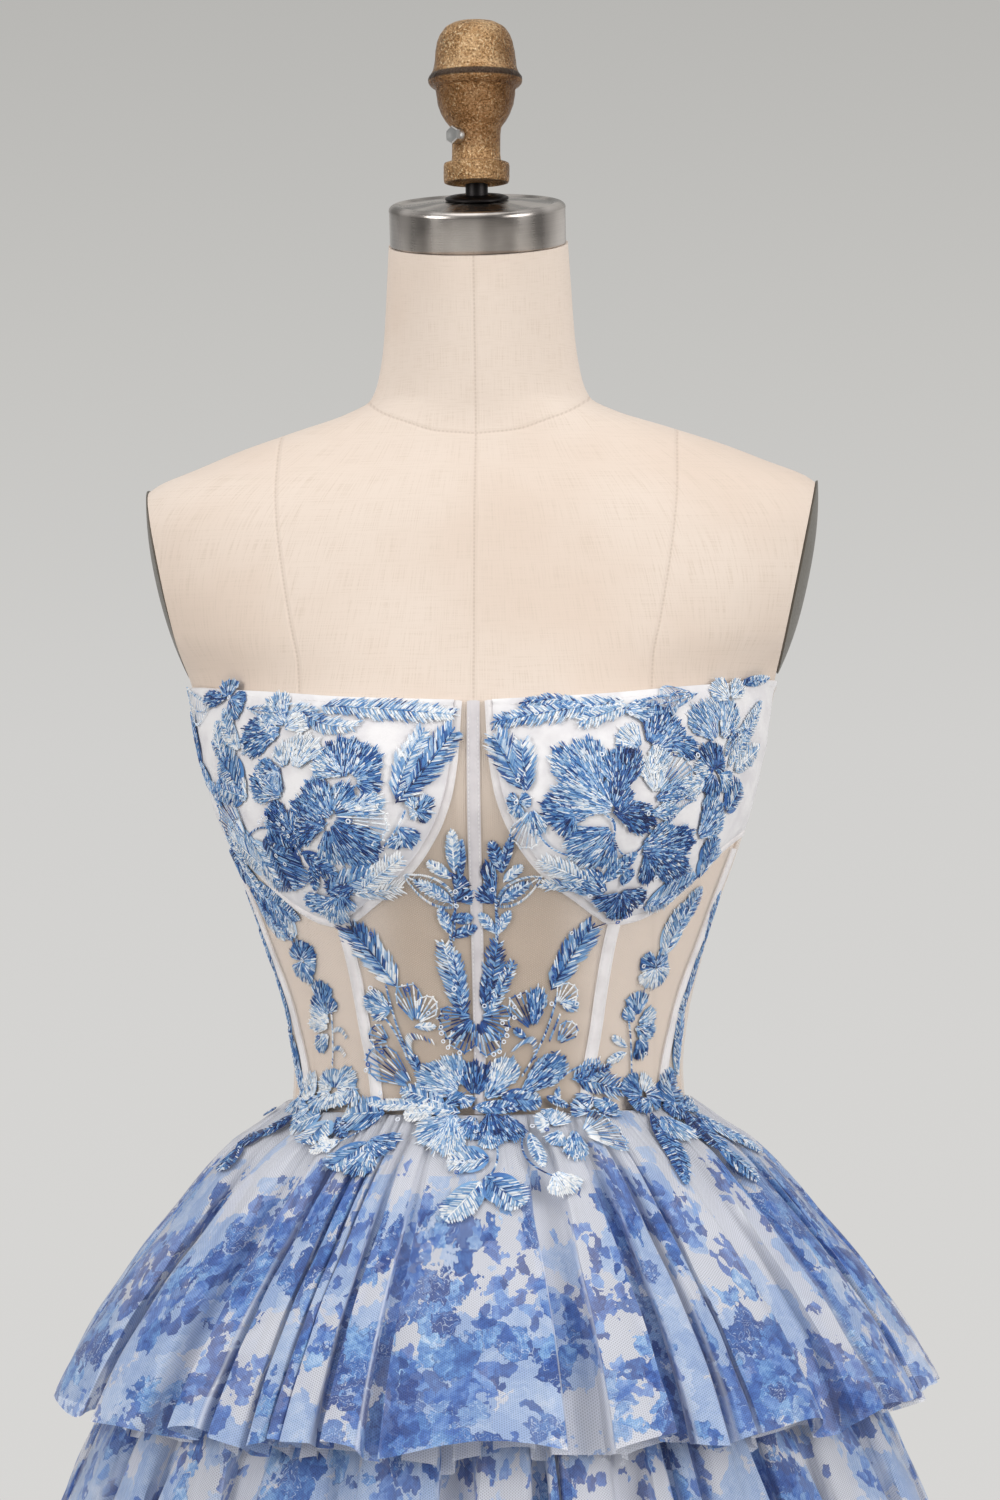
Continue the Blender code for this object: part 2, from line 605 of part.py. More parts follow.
def make_cups(made_of, group):
    wire = wire_line()
    lower = offset_line(wire, WIRE_HALF + SEAM_GAP)
    lower[0] = (lower[0] + lower[1]) / 2
    lower[-1, 0] = seam_angle(SIDE_SEAM, lower[-1, 1]) - side_gap()
    upper = lower.copy()
    spread = (wire[:, 0] - wire[0, 0]) / (wire[-1, 0] - wire[0, 0])
    upper[:, 0] = lower[0, 0] + spread * (seam_angle(SIDE_SEAM, SIDE_TOP) - side_gap() - lower[0, 0])
    upper[:, 1] = top_height(upper[:, 0])
    layout = between(lower, upper, CUP_ROWS)
    rise = dome(layout[..., 0], layout[..., 1])
    rise[0] = 0
    for side, name in ((-1, "cup_left"), (1, "cup_right")):
        layout_wall(name, layout, FORM_GAP + rise, FORM_GAP + rise + CUP_WALL, made_of["cup"], group, side)


def make_wire_channels(made_of, group):
    wire = wire_line()
    lower = offset_line(wire, -WIRE_HALF)
    upper = offset_line(wire, WIRE_HALF)
    lower[-1, 0] = seam_angle(SIDE_SEAM, lower[-1, 1]) - side_gap()
    upper[-1, 0] = seam_angle(SIDE_SEAM, upper[-1, 1]) - side_gap()
    layout = between(lower, upper, 1)
    for side, name in ((-1, "wire_channel_left"), (1, "wire_channel_right")):
        layout_wall(name, layout, FORM_GAP, FORM_GAP + BONE_WALL, made_of["bone"], group, side)


def bone_reach(height):
    """From the middle of a bone to the net beside it, as an angle."""
    return (BONE_HALF + SEAM_GAP) / flat_radius(height)


def net_upper(first, last):
    """The part of the wire channel's lower edge that a net panel meets."""
    line = offset_line(wire_line(), -WIRE_HALF - SEAM_GAP)
    return line[first:last + 1]


def make_front_panels(made_of, group):
    """Net between the centre bone and the princess bone, up to the wire channel."""
    upper = net_upper(1, WIRE_LOW)
    upper[0] = (max(bone_reach(upper[0, 1]), upper[0, 0]), upper[0, 1])
    upper[-1] = (seam_angle(PRINCESS_SEAM, upper[-1, 1]) - bone_reach(upper[-1, 1]), upper[-1, 1] - CORNER_TRIM)
    start = bone_reach(0.0)
    finish = seam_angle(PRINCESS_SEAM, 0.0) - start
    spread = (upper[:, 0] - upper[0, 0]) / (upper[-1, 0] - upper[0, 0])
    lower = np.stack([start + spread * (finish - start), np.zeros(len(upper))], -1)
    layout = between(lower, upper, PANEL_ROWS)
    heights = layout[:, -1, 1]
    layout[:, -1, 0] = seam_angle(PRINCESS_SEAM, heights) - bone_reach(heights)
    layout[:-1, 0, 0] = bone_reach(layout[:-1, 0, 1])
    for side, name in ((-1, "front_panel_left"), (1, "front_panel_right")):
        layout_wall(name, layout, FORM_GAP, FORM_GAP + NET_WALL, made_of["net"], group, side)


def make_side_fronts(made_of, group):
    """Net between the princess bone and the side bone."""
    upper = net_upper(WIRE_LOW, len(CUP_WIRE) - 2)
    upper[0] = (seam_angle(PRINCESS_SEAM, upper[0, 1]) + bone_reach(upper[0, 1]), upper[0, 1] - CORNER_TRIM)
    upper[-1, 0] = seam_angle(SIDE_BONE, upper[-1, 1]) - bone_reach(upper[-1, 1])
    start = seam_angle(PRINCESS_SEAM, 0.0) + bone_reach(0.0)
    finish = seam_angle(SIDE_BONE, 0.0) - bone_reach(0.0)
    spread = (upper[:, 0] - upper[0, 0]) / (upper[-1, 0] - upper[0, 0])
    lower = np.stack([start + spread * (finish - start), np.zeros(len(upper))], -1)
    layout = between(lower, upper, PANEL_ROWS)
    for last, table, away in ((0, PRINCESS_SEAM, 1), (-1, SIDE_BONE, -1)):
        heights = layout[:, last, 1]
        layout[:, last, 0] = seam_angle(table, heights) + away * bone_reach(heights)
    for side, name in ((-1, "side_front_left"), (1, "side_front_right")):
        layout_wall(name, layout, FORM_GAP, FORM_GAP + NET_WALL, made_of["net"], group, side)


def make_sides(made_of, group):
    """Net between the side bone and the side seam."""
    rows = np.linspace(0, SIDE_PANEL_TOP, PANEL_ROWS + 1)
    first = seam_angle(SIDE_BONE, rows) + bone_reach(rows)
    last = seam_angle(SIDE_SEAM, rows) - side_gap()
    columns = [np.stack([first * (1 - part) + last * part, rows], -1) for part in (0, 0.5, 1)]
    layout = np.stack(columns, 1)
    for side, name in ((-1, "side_panel_left"), (1, "side_panel_right")):
        layout_wall(name, layout, FORM_GAP, FORM_GAP + NET_WALL, made_of["net"], group, side)


def back_layout(first, last):
    """A grid from the waist seam to the top edge between two edges, given as angles at a height."""
    part = np.linspace(0, 1, BACK_PANEL_COLUMNS + 1)[None, :]
    up = np.linspace(0, 1, BACK_ROWS + 1)[:, None]
    heights = up * top_height(math.pi) * np.ones_like(part)
    for _ in range(6):
        angle = first(heights) * (1 - part) + last(heights) * part
        heights = up * top_height(angle)
    return np.stack([angle, heights], -1)


def make_backs(made_of, group):
    """Side-back and centre-back panels, parted by a bone on each side and the zip at the middle."""
    def side_edge(height):
        return seam_angle(SIDE_SEAM, height) + side_gap()

    def bone_edge(height, away):
        return seam_angle(BACK_BONE, height) + away * bone_reach(height)

    def zip_edge(height):
        return math.pi - (ZIP_HALF + SEAM_GAP) / read(FORM_SECTIONS, SECTION_COLUMNS, "back", height)

    side_back = back_layout(side_edge, lambda height: bone_edge(height, -1))
    centre_back = back_layout(lambda height: bone_edge(height, 1), zip_edge)
    for side, mark in ((-1, "left"), (1, "right")):
        layout_wall("side_back_" + mark, side_back, FORM_GAP, FORM_GAP + NET_WALL, made_of["net"], group, side)
        layout_wall("centre_back_" + mark, centre_back, FORM_GAP, FORM_GAP + NET_WALL, made_of["net"], group, side)


def make_bones(made_of, group):
    """Boning channels let in between the net panels, a little thicker than the net."""
    heights = np.linspace(0, top_height(0.0), BONE_ROWS + 1)
    reach = BONE_HALF / flat_radius(heights)
    layout = np.stack([np.stack([side * reach, heights], -1) for side in (-1, 1)], 1)
    inner = body_point(layout[..., 0], layout[..., 1], FORM_GAP)
    outer = body_point(layout[..., 0], layout[..., 1], FORM_GAP + BONE_WALL)
    wall("bone_centre", inner, outer, made_of["bone"], group)
    princess_top = net_upper(WIRE_LOW, WIRE_LOW)[0, 1] - CORNER_TRIM
    lines = (("bone_princess", np.linspace(0, princess_top, PANEL_ROWS + 1), PRINCESS_SEAM),
             ("bone_side", np.linspace(0, SIDE_BONE_TOP, PANEL_ROWS + 1), SIDE_BONE))
    for name, heights, table in lines:
        layout = strip_layout(heights, table, BONE_HALF)
        for side, mark in ((-1, "left"), (1, "right")):
            layout_wall(name + "_" + mark, layout, FORM_GAP, FORM_GAP + BONE_WALL, made_of["bone"], group, side)
    top = top_height(seam_angle(BACK_BONE, top_height(math.pi)))
    layout = strip_layout(np.linspace(0, top, BACK_ROWS + 1), BACK_BONE, BONE_HALF)
    for side, mark in ((-1, "left"), (1, "right")):
        layout_wall("bone_back_" + mark, layout, FORM_GAP, FORM_GAP + BONE_WALL, made_of["bone"], group, side)


# The zip at the centre back

def back_point(height, out):
    return Vector(body_point(math.pi, height, out))


def make_zip(made_of, group, cutters):
    """The zip's closed tape, its slider and the pull that hangs from the slider's bail."""
    heights = np.linspace(0, top_height(math.pi) - 0.001, BACK_ROWS + 1)
    reach = ZIP_HALF / read(FORM_SECTIONS, SECTION_COLUMNS, "back", heights)
    layout = np.stack([np.stack([math.pi + side * reach, heights], -1) for side in (-1, 1)], 1)
    inner = body_point(layout[..., 0], layout[..., 1], FORM_GAP)
    outer = body_point(layout[..., 0], layout[..., 1], FORM_GAP + NET_WALL)
    wall("zip_tape", inner, outer, made_of["tape"], group)

    seat = back_point(SLIDER_TOP - SLIDER_LONG / 2, FORM_GAP + NET_WALL + SEAM_GAP + SLIDER_CLEAR)
    slope = back_point(SLIDER_TOP, 0) - back_point(SLIDER_TOP - SLIDER_LONG, 0)
    lean = math.atan2(slope.y, slope.z)
    turn = Matrix.Rotation(-lean, 4, "X")
    frame = Matrix.Translation(seat) @ turn
    work = bmesh.new()
    bmesh.ops.create_cube(work, size=1)
    bmesh.ops.scale(work, vec=(SLIDER_WIDE, SLIDER_DEEP, SLIDER_LONG), verts=work.verts)
    bmesh.ops.translate(work, vec=(0, SLIDER_DEEP / 2, 0), verts=work.verts)
    bmesh.ops.bevel(work, geom=work.edges, offset=0.0006, segments=1, affect="EDGES")
    slider = finish_mesh("zip_slider", work, made_of["zip"], group)
    slider.matrix_world = frame

    arch = bpy.data.curves.new("bail", "CURVE")
    arch.dimensions = "3D"
    spline = arch.splines.new("POLY")
    spline.points.add(BAIL_STEPS)
    for index in range(BAIL_STEPS + 1):
        bend = math.pi * index / BAIL_STEPS
        up = BAIL_HALF * math.cos(bend)
        out = SLIDER_DEEP - BAIL_SUNK + BAIL_RISE * math.sin(bend)
        spline.points[index].co = (0, out, up, 1)
    arch.bevel_depth = BAIL_WIRE
    arch.bevel_resolution = 1
    arch.use_fill_caps = True
    drawn = bpy.data.objects.new("bail_curve", arch)
    group.objects.link(drawn)
    bpy.context.view_layer.update()
    mesh = bpy.data.meshes.new_from_object(drawn.evaluated_get(bpy.context.evaluated_depsgraph_get()))
    bpy.data.objects.remove(drawn)
    work = bmesh.new()
    work.from_mesh(mesh)
    bmesh.ops.remove_doubles(work, verts=work.verts, dist=1e-6)
    work.to_mesh(mesh)
    work.free()
    bail = bpy.data.objects.new("bail", mesh)
    bail.matrix_world = frame
    bail.hide_render = True
    bail.display_type = "WIRE"
    cutters.objects.link(bail)
    join = slider.modifiers.new("bail", "BOOLEAN")
    join.operation = "UNION"
    join.solver = "EXACT"
    join.object = bail

    axis = frame @ Vector((0, SLIDER_DEEP + PULL_AXIS, 0))
    outline = bpy.data.curves.new("pull", "CURVE")
    outline.dimensions = "2D"
    outline.fill_mode = "BOTH"
    outline.extrude = PULL_WALL / 2
    bar = PULL_WALL / 2
    tip = [(PULL_HALF * math.cos(turn_at), -PULL_LENGTH + PULL_HALF + PULL_HALF * math.sin(turn_at))
           for turn_at in np.linspace(math.pi, 2 * math.pi, 9)]
    edge = [(PULL_NECK, bar), (-PULL_NECK, bar), (-PULL_NECK, -PULL_SHOULDER), *tip, (PULL_NECK, -PULL_SHOULDER)]
    window = [(WINDOW_HALF, -bar), (WINDOW_HALF, -WINDOW_LOW), (-WINDOW_HALF, -WINDOW_LOW), (-WINDOW_HALF, -bar)]
    for points in (edge, window):
        spline = outline.splines.new("POLY")
        spline.points.add(len(points) - 1)
        for index, (across, up) in enumerate(points):
            spline.points[index].co = (across, up, 0, 1)
        spline.use_cyclic_u = True
    drawn = bpy.data.objects.new("pull_curve", outline)
    group.objects.link(drawn)
    bpy.context.view_layer.update()
    mesh = bpy.data.meshes.new_from_object(drawn.evaluated_get(bpy.context.evaluated_depsgraph_get()))
    bpy.data.objects.remove(drawn)
    work = bmesh.new()
    work.from_mesh(mesh)
    bmesh.ops.remove_doubles(work, verts=work.verts, dist=1e-6)
    bmesh.ops.rotate(work, cent=(0, 0, 0), matrix=Matrix.Rotation(math.pi / 2, 3, "X"), verts=work.verts)
    bmesh.ops.recalc_face_normals(work, faces=work.faces)
    work.to_mesh(mesh)
    work.free()
    pull = link_mesh("zip_pull", mesh, made_of["zip"], group)
    pull.location = axis


# The skirt

def waves(table, turns, drift):
    """A sum of the waves in a table at each turn round the skirt."""
    total = np.zeros_like(turns)
    for row in table:
        one = dict(zip(WAVE_COLUMNS, row))
        total = total + one["reach"] * np.sin(one["times"] * turns + one["drift"] * drift + one["start"])
    return total


def wave(turns, drift):
    """Phase of the folds at each turn: folds crowd and spread a little round the skirt."""
    return waves(CROWDING, turns, drift)


def fold_height(turns, drift):
    """Some folds are deeper than others."""
    return 1 + waves(DEPTHS, turns, drift)


def skirt_rings(profile, folds, drift, heights):
    """Rings of one layer, from its hem up, with four columns to a fold."""
    if folds:
        phase = np.concatenate([2 * math.pi * index + np.radians(FOLD_CORNERS) for index in range(folds)])
        turns = phase / folds
        angle = turns + wave(turns, drift)
        shape = math.sqrt(2) * np.sin(phase) * fold_height(turns, drift)
    else:
        angle = np.linspace(0, 2 * math.pi, UNDERSKIRT_SIDES, endpoint=False)
        shape = np.zeros_like(angle)
    rings = []
    for height in heights:
        level = np.full_like(angle, height)
        sizes = [read(profile, SKIRT_COLUMNS, name, level) for name in SKIRT_COLUMNS[1:]]
        radius = oval(angle, *sizes[:4]) + sizes[4] * shape
        rings.append(np.stack([radius * np.sin(angle), -radius * np.cos(angle), WAIST + level], -1))
    return np.array(rings)


def make_layer(name, rings, made_of, group):
    """One gathered layer: an open surface with its thickness added inwards."""
    work = bmesh.new()
    loops = [[work.verts.new(point) for point in ring] for ring in rings]
    for low, high in zip(loops, loops[1:]):
        for index in range(len(low)):
            after = (index + 1) % len(low)
            work.faces.new((low[index], low[after], high[after], high[index]))
    piece = finish_mesh(name, work, made_of, group, smooth=60)
    thick = piece.modifiers.new("cloth", "SOLIDIFY")
    thick.thickness = TULLE_WALL
    thick.offset = -1
    return piece


def make_skirt(made_of, group):
    make_layer("underskirt", skirt_rings(UNDERSKIRT, 0, 0, UNDERSKIRT_HEIGHTS), made_of["lining"], group)
    for row in TIERS:
        tier = dict(zip(TIER_COLUMNS, row))
        rings = skirt_rings(tier["profile"], tier["folds"], tier["drift"], tier["heights"])
        make_layer(tier["name"], rings, made_of["tulle"], group)


# The applique

def waist_point(angle, height, out):
    """Points over the waist seam and the first tier, on a skin that touches the crests of its folds."""
    tier = dict(zip(TIER_COLUMNS, TIERS[0]))
    drift = tier["drift"]
    turns = angle - wave(angle - wave(angle, drift), drift)
    crests = []
    for level in tier["heights"]:
        sizes = [read(tier["profile"], SKIRT_COLUMNS, name, level) for name in SKIRT_COLUMNS[1:]]
        crests.append(oval(angle, *sizes[:4]) + sizes[4] * fold_height(turns, drift))
    crests = np.array(crests)
    radius = np.array([np.interp(one, tier["heights"], crests[:, index]) for index, one in enumerate(height)])
    radius += out + WAIST_GAP
    return np.stack([radius * np.sin(angle), -radius * np.cos(angle), WAIST + height], -1)


def motif_outline(row):
    """Rings of flat points: the middle, half way and the petalled edge, as (across, up) pairs."""
    sizes = dict(zip(MOTIF_COLUMNS, row))
    petals = sizes["petals"]
    phase = np.concatenate([2 * math.pi * petal + np.radians(PETAL_CORNERS) for petal in range(petals)])
    turns = phase / petals
    edge = 1 - sizes["cut"] * (0.5 - 0.5 * np.cos(phase))
    tilt = math.radians(sizes["turn"])
    rings = []
    for scale in (0.5, 1.0):
        along = scale * edge * sizes["along"] * np.cos(turns)
        across = scale * edge * sizes["across"] * np.sin(turns)
        rings.append(np.stack([along * math.cos(tilt) - across * math.sin(tilt),
                               along * math.sin(tilt) + across * math.cos(tilt)], -1))
    return [np.zeros((1, 2)), *rings]


def motif_skin(row, flat, out, side):
    """Places the flat points of a motif on its ground, a little off it."""
    sizes = dict(zip(MOTIF_COLUMNS, row))
    height = sizes["height"] + flat[:, 1]
    if sizes["ground"] == "waist":
        angle = math.radians(sizes["angle"]) + flat[:, 0] / WAIST_RADIUS
        return waist_point(side * angle, height, out)
    angle = math.radians(sizes["angle"]) + flat[:, 0] / flat_radius(height)
    grounds = {"panel": FORM_GAP + NET_WALL, "panel_bone": FORM_GAP + BONE_WALL,
               "cup": FORM_GAP + CUP_WALL + dome(angle, height)}
    return body_point(side * angle, height, grounds[sizes["ground"]] + APPLIQUE_GAP + out)


def make_motif(name, row, side, made_of, group):
    work = bmesh.new()
    flats = motif_outline(row)
    skins = []
    for out in (0.0, APPLIQUE_WALL):
        rings = []
        for flat in flats:
            rings.append([work.verts.new(point) for point in motif_skin(row, flat, out, side)])
        skins.append(rings)
    sides = len(flats[-1])
    for rings, outward in zip(skins, (-1, 1)):
        middle, half, edge = rings
        for index in range(sides):
            after = (index + 1) % sides
            work.faces.new((middle[0], half[index], half[after])[::outward])
            work.faces.new((half[index], edge[index], edge[after], half[after])[::outward])
    low = skins[0][2]
    high = skins[1][2]
    for index in range(sides):
        after = (index + 1) % sides
        work.faces.new((low[index], low[after], high[after], high[index]))
    bmesh.ops.recalc_face_normals(work, faces=work.faces)
    finish_mesh(name, work, made_of, group)


def make_applique(made_of, group):
    for row in MOTIFS:
        for side, mark in ((-1, "left"), (1, "right")):
            make_motif(row[0] + "_" + mark, row, side, made_of, group)
    for row in CENTRE_MOTIFS:
        make_motif(row[0], row, 1, made_of, group)


def main():
    clear_scene()
    group = collection(COLLECTION)
    cutters = collection(CUTTERS)
    made_of = {
        "form": material("form_jersey", (0.80, 0.70, 0.58), 0.85),
        "plate": material("armhole_plate", (0.10, 0.11, 0.10), 0.45),
        "steel": material("brushed_steel", (0.62, 0.62, 0.62), 0.35, 1.0),
        "brass": material("cast_brass", (0.62, 0.48, 0.26), 0.38, 1.0),
        "dark": material("black_steel", (0.05, 0.05, 0.055), 0.45, 0.6),
        "net": material("nude_net", (0.66, 0.55, 0.43), 0.8),
        "cup": material("white_satin", (0.86, 0.87, 0.91), 0.55),
        "bone": material("white_channel", (0.88, 0.88, 0.90), 0.6),
        "tape": material("zip_tape", (0.80, 0.78, 0.76), 0.7),
        "zip": material("zip_metal", (0.80, 0.80, 0.82), 0.3, 1.0),
        "lining": material("lining", (0.80, 0.82, 0.88), 0.75),
        "tulle": material("printed_tulle", (0.62, 0.70, 0.86), 0.75),
        "applique": material("blue_applique", (0.20, 0.36, 0.66), 0.6),
    }
    make_torso(made_of["form"], group)
    make_plates(made_of["plate"], group)
    seat = make_neck_cap(made_of, group)
    make_finial(made_of, group, seat)
    make_stand(made_of, group)
    make_cups(made_of, group)
    make_wire_channels(made_of, group)
    make_front_panels(made_of, group)
    make_side_fronts(made_of, group)
    make_sides(made_of, group)
    make_backs(made_of, group)
    make_bones(made_of, group)
    make_zip(made_of, group, cutters)
    make_skirt(made_of, group)
    make_applique(made_of["applique"], group)


main()
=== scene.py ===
from math import atan, cos, hypot, pi, radians, sin, tan

import bmesh
import bpy
import numpy as np
from mathutils import Euler, Matrix, Vector


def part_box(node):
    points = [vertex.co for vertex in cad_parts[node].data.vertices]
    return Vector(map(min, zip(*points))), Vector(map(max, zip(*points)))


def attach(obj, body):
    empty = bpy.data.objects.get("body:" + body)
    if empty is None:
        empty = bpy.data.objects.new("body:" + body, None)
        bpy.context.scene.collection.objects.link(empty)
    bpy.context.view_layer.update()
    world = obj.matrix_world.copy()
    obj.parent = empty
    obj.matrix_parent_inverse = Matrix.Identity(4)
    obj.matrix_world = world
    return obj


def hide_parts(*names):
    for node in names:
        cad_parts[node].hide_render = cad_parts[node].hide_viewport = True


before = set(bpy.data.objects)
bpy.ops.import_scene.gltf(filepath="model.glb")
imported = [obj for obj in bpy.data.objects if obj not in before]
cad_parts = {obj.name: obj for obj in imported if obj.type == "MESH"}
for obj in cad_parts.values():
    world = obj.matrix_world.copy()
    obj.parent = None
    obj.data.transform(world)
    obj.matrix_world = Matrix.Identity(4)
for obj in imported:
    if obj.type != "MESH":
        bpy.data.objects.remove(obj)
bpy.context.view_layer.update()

print("frame loaded:", len(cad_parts), "nodes")


# The body plan: a place on the form is an angle round it (0 at the centre front) and a height from the waist

formShape = {
    "waist": 1.04,  # the waist seam above the floor
    "neckTop": 0.4965,
    "neckTilt": radians(14),
    "neckBend": 0.42,
    "armholeLow": 0.15,
    "faceX": 0.183,
    "faceLean": 0.218,
    "faceHeight": 0.31,
    "bustAngle": radians(30),
    "bustHeight": 0.17,
    "bustRise": 0.024,
    "bustAcross": radians(19),
    "bustAbove": 0.052,
    "bustBelow": 0.042,
}
formSections = (  # height, half width, depth in front, depth behind, squareness
    (-0.335, 0.146, 0.078, 0.096, 2.1), (-0.31, 0.16, 0.088, 0.108, 2.1), (-0.26, 0.171, 0.096, 0.12, 2.1),
    (-0.2, 0.172, 0.098, 0.122, 2.15), (-0.15, 0.165, 0.097, 0.117, 2.15), (-0.1, 0.15, 0.095, 0.107, 2.15),
    (-0.05, 0.127, 0.091, 0.095, 2.15), (0.0, 0.1125, 0.0885, 0.0875, 2.15), (0.018, 0.1115, 0.088, 0.0865, 2.15),
    (0.05, 0.115, 0.0915, 0.089, 2.15), (0.08, 0.1225, 0.095, 0.0925, 2.15), (0.11, 0.132, 0.098, 0.096, 2.15),
    (0.14, 0.143, 0.102, 0.0995, 2.15), (0.175, 0.1545, 0.106, 0.103, 2.15), (0.21, 0.163, 0.106, 0.105, 2.15),
    (0.244, 0.17, 0.101, 0.1055, 2.2), (0.27, 0.19, 0.096, 0.105, 2.3), (0.3, 0.204, 0.089, 0.102, 2.3),
    (0.33, 0.208, 0.08, 0.097, 2.25), (0.345, 0.203, 0.074, 0.093, 2.2), (0.358, 0.189, 0.067, 0.088, 2.15),
    (0.368, 0.165, 0.061, 0.083, 2.1), (0.378, 0.14, 0.056, 0.078, 2.1), (0.388, 0.11, 0.052, 0.072, 2.1),
    (0.398, 0.079, 0.051, 0.066, 2.05), (0.406, 0.064, 0.0515, 0.063, 2.0), (0.418, 0.059, 0.052, 0.059, 2.0),
    (0.44, 0.0555, 0.053, 0.056, 2.0), (0.47, 0.0535, 0.0545, 0.0515, 2.0), (0.4965, 0.052, 0.056, 0.048, 2.0),
)


def curveThrough(across, up, at):
    # a smooth curve through the points, which never overshoots them
    across = np.asarray(across, float)
    up = np.asarray(up, float)
    at = np.clip(np.asarray(at, float), across[0], across[-1])
    step = np.diff(across)
    slope = np.diff(up) / step
    tangent = np.zeros(len(up))
    tangent[0] = slope[0]
    tangent[-1] = slope[-1]
    for index in range(1, len(up) - 1):
        product = slope[index - 1] * slope[index]
        if product > 0:
            tangent[index] = 2 * product / (slope[index - 1] + slope[index])
    left = np.clip(np.searchsorted(across, at) - 1, 0, len(across) - 2)
    part = (at - across[left]) / step[left]
    rest = 1 - part
    return ((1 + 2 * part) * rest ** 2 * up[left] + part * rest ** 2 * step[left] * tangent[left]
            + part ** 2 * (3 - 2 * part) * up[left + 1] - part ** 2 * rest * step[left] * tangent[left + 1])


def readTable(table, index, at):
    return curveThrough([row[0] for row in table], [row[index] for row in table], at)


def sumsOf(spans):
    return np.concatenate([[0], np.cumsum(spans)])


def smoothStep(low, high, value):
    part = np.clip((np.asarray(value, float) - low) / (high - low), 0, 1)
    return part * part * (3 - 2 * part)


def ovalRadius(angle, halfWidth, front, back, square):
    depth = np.where(np.cos(angle) >= 0, front, back)
    return (np.abs(np.sin(angle) / halfWidth) ** square + np.abs(np.cos(angle) / depth) ** square) ** (-1 / square)


def bustRise(angle, height):
    above = height - formShape["bustHeight"]
    upright = np.where(above > 0, above / formShape["bustAbove"], above / formShape["bustBelow"])
    rise = 0.0
    for side in (-1, 1):
        across = (angle - side * formShape["bustAngle"]) / formShape["bustAcross"]
        rise = rise + formShape["bustRise"] * np.exp(-0.5 * (across ** 2 + upright ** 2))
    return rise


def armholeFace(height):
    return formShape["faceX"] + formShape["faceLean"] * (height - formShape["faceHeight"])


def formSurface(angle, height, cut=True):
    angle = np.asarray(angle, float)
    height = np.asarray(height, float)
    sizes = [readTable(formSections, index, height) for index in range(1, 5)]
    radius = ovalRadius(angle, *sizes) + bustRise(angle, height)
    x = radius * np.sin(angle)
    y = -radius * np.cos(angle)
    if cut:
        face = armholeFace(height)
        x = np.where(height > formShape["armholeLow"], np.clip(x, -face, face), x)
    lean = smoothStep(formShape["neckBend"], formShape["neckTop"], height)
    return np.stack([x, y, formShape["waist"] + height + y * tan(formShape["neckTilt"]) * lean], -1)


def formNormal(angle, height):
    step = 1e-4
    around = formSurface(angle + step, height) - formSurface(angle - step, height)
    upward = formSurface(angle, height + step) - formSurface(angle, height - step)
    normal = np.cross(around, upward)
    return normal / np.linalg.norm(normal, axis=-1, keepdims=True)


def bodyPoint(angle, height, out):
    angle = np.asarray(angle, float)
    height = np.asarray(height, float)
    return formSurface(angle, height) + formNormal(angle, height) * np.asarray(out, float)[..., None]


def ringPoints(radius, angle, height):
    return np.stack([radius * np.sin(angle), -radius * np.cos(angle), height], -1)


def flatRadius(height):
    return readTable(formSections, 2, height) + 0.01  # turns a width on the front into an angle


bothSides = ((-1, "Left"), (1, "Right"))


# Meshes from grids of points: rows go up, columns go towards +X in front

def gridFaces(rows, columns, closed=False, start=0, flip=False):
    across = columns if closed else columns - 1
    row, column = np.mgrid[0:rows - 1, 0:across]
    low = row * columns + column
    after = row * columns + (column + 1) % columns
    faces = np.stack([low, after, after + columns, low + columns], -1).reshape(-1, 4) + start
    return faces[:, ::-1] if flip else faces


def newObject(name, data):
    made = bpy.data.objects.new(name, data)
    bpy.context.scene.collection.objects.link(made)
    return made


def setValues(mesh, values):
    for label, value in values.items():
        mesh.attributes.new(label, "FLOAT", "POINT").data.foreach_set("value", np.asarray(value, float).ravel())


def setUv(mesh, uv, wrap=0.0, split=0.0, most=0.5):
    # one place for each point; in a face wider than most of a turn, the corners before the split move on by a turn
    corners = np.zeros(len(mesh.loops), np.int32)
    mesh.loops.foreach_get("vertex_index", corners)
    spots = np.asarray(uv, float).reshape(-1, 2)[corners]
    for face in mesh.polygons if wrap else ():
        around = np.array(face.loop_indices)
        if np.ptp(spots[around, 0]) > wrap * most:
            spots[around[spots[around, 0] < split], 0] += wrap
    mesh.uv_layers.new(name="UVMap").data.foreach_set("uv", spots.ravel())


def smoothFaces(mesh, limit):
    mesh.shade_smooth()
    mesh.set_sharp_from_angle(angle=radians(limit))


def addPiece(name, points, faces, finish, uv=None, values=None, wrap=0.0, smooth=40):
    mesh = bpy.data.meshes.new(name)
    points = np.asarray(points, float).reshape(-1, 3)
    mesh.from_pydata(points.tolist(), [], [list(map(int, face)) for face in faces])
    if uv is not None:
        setUv(mesh, uv, wrap, wrap / 2)
    setValues(mesh, values or {})
    smoothFaces(mesh, smooth)
    mesh.materials.append(finish)
    return newObject(name, mesh)


def finishPiece(piece, slotName, *nodes, body="root"):
    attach(piece, body)
    if nodes:
        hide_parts(*nodes)
    return piece


def sheetPiece(name, grid, finish, uv=None, closed=False, values=None, wrap=0.0):
    rows, columns = grid.shape[:2]
    return addPiece(name, grid, gridFaces(rows, columns, closed), finish, uv, values, wrap)


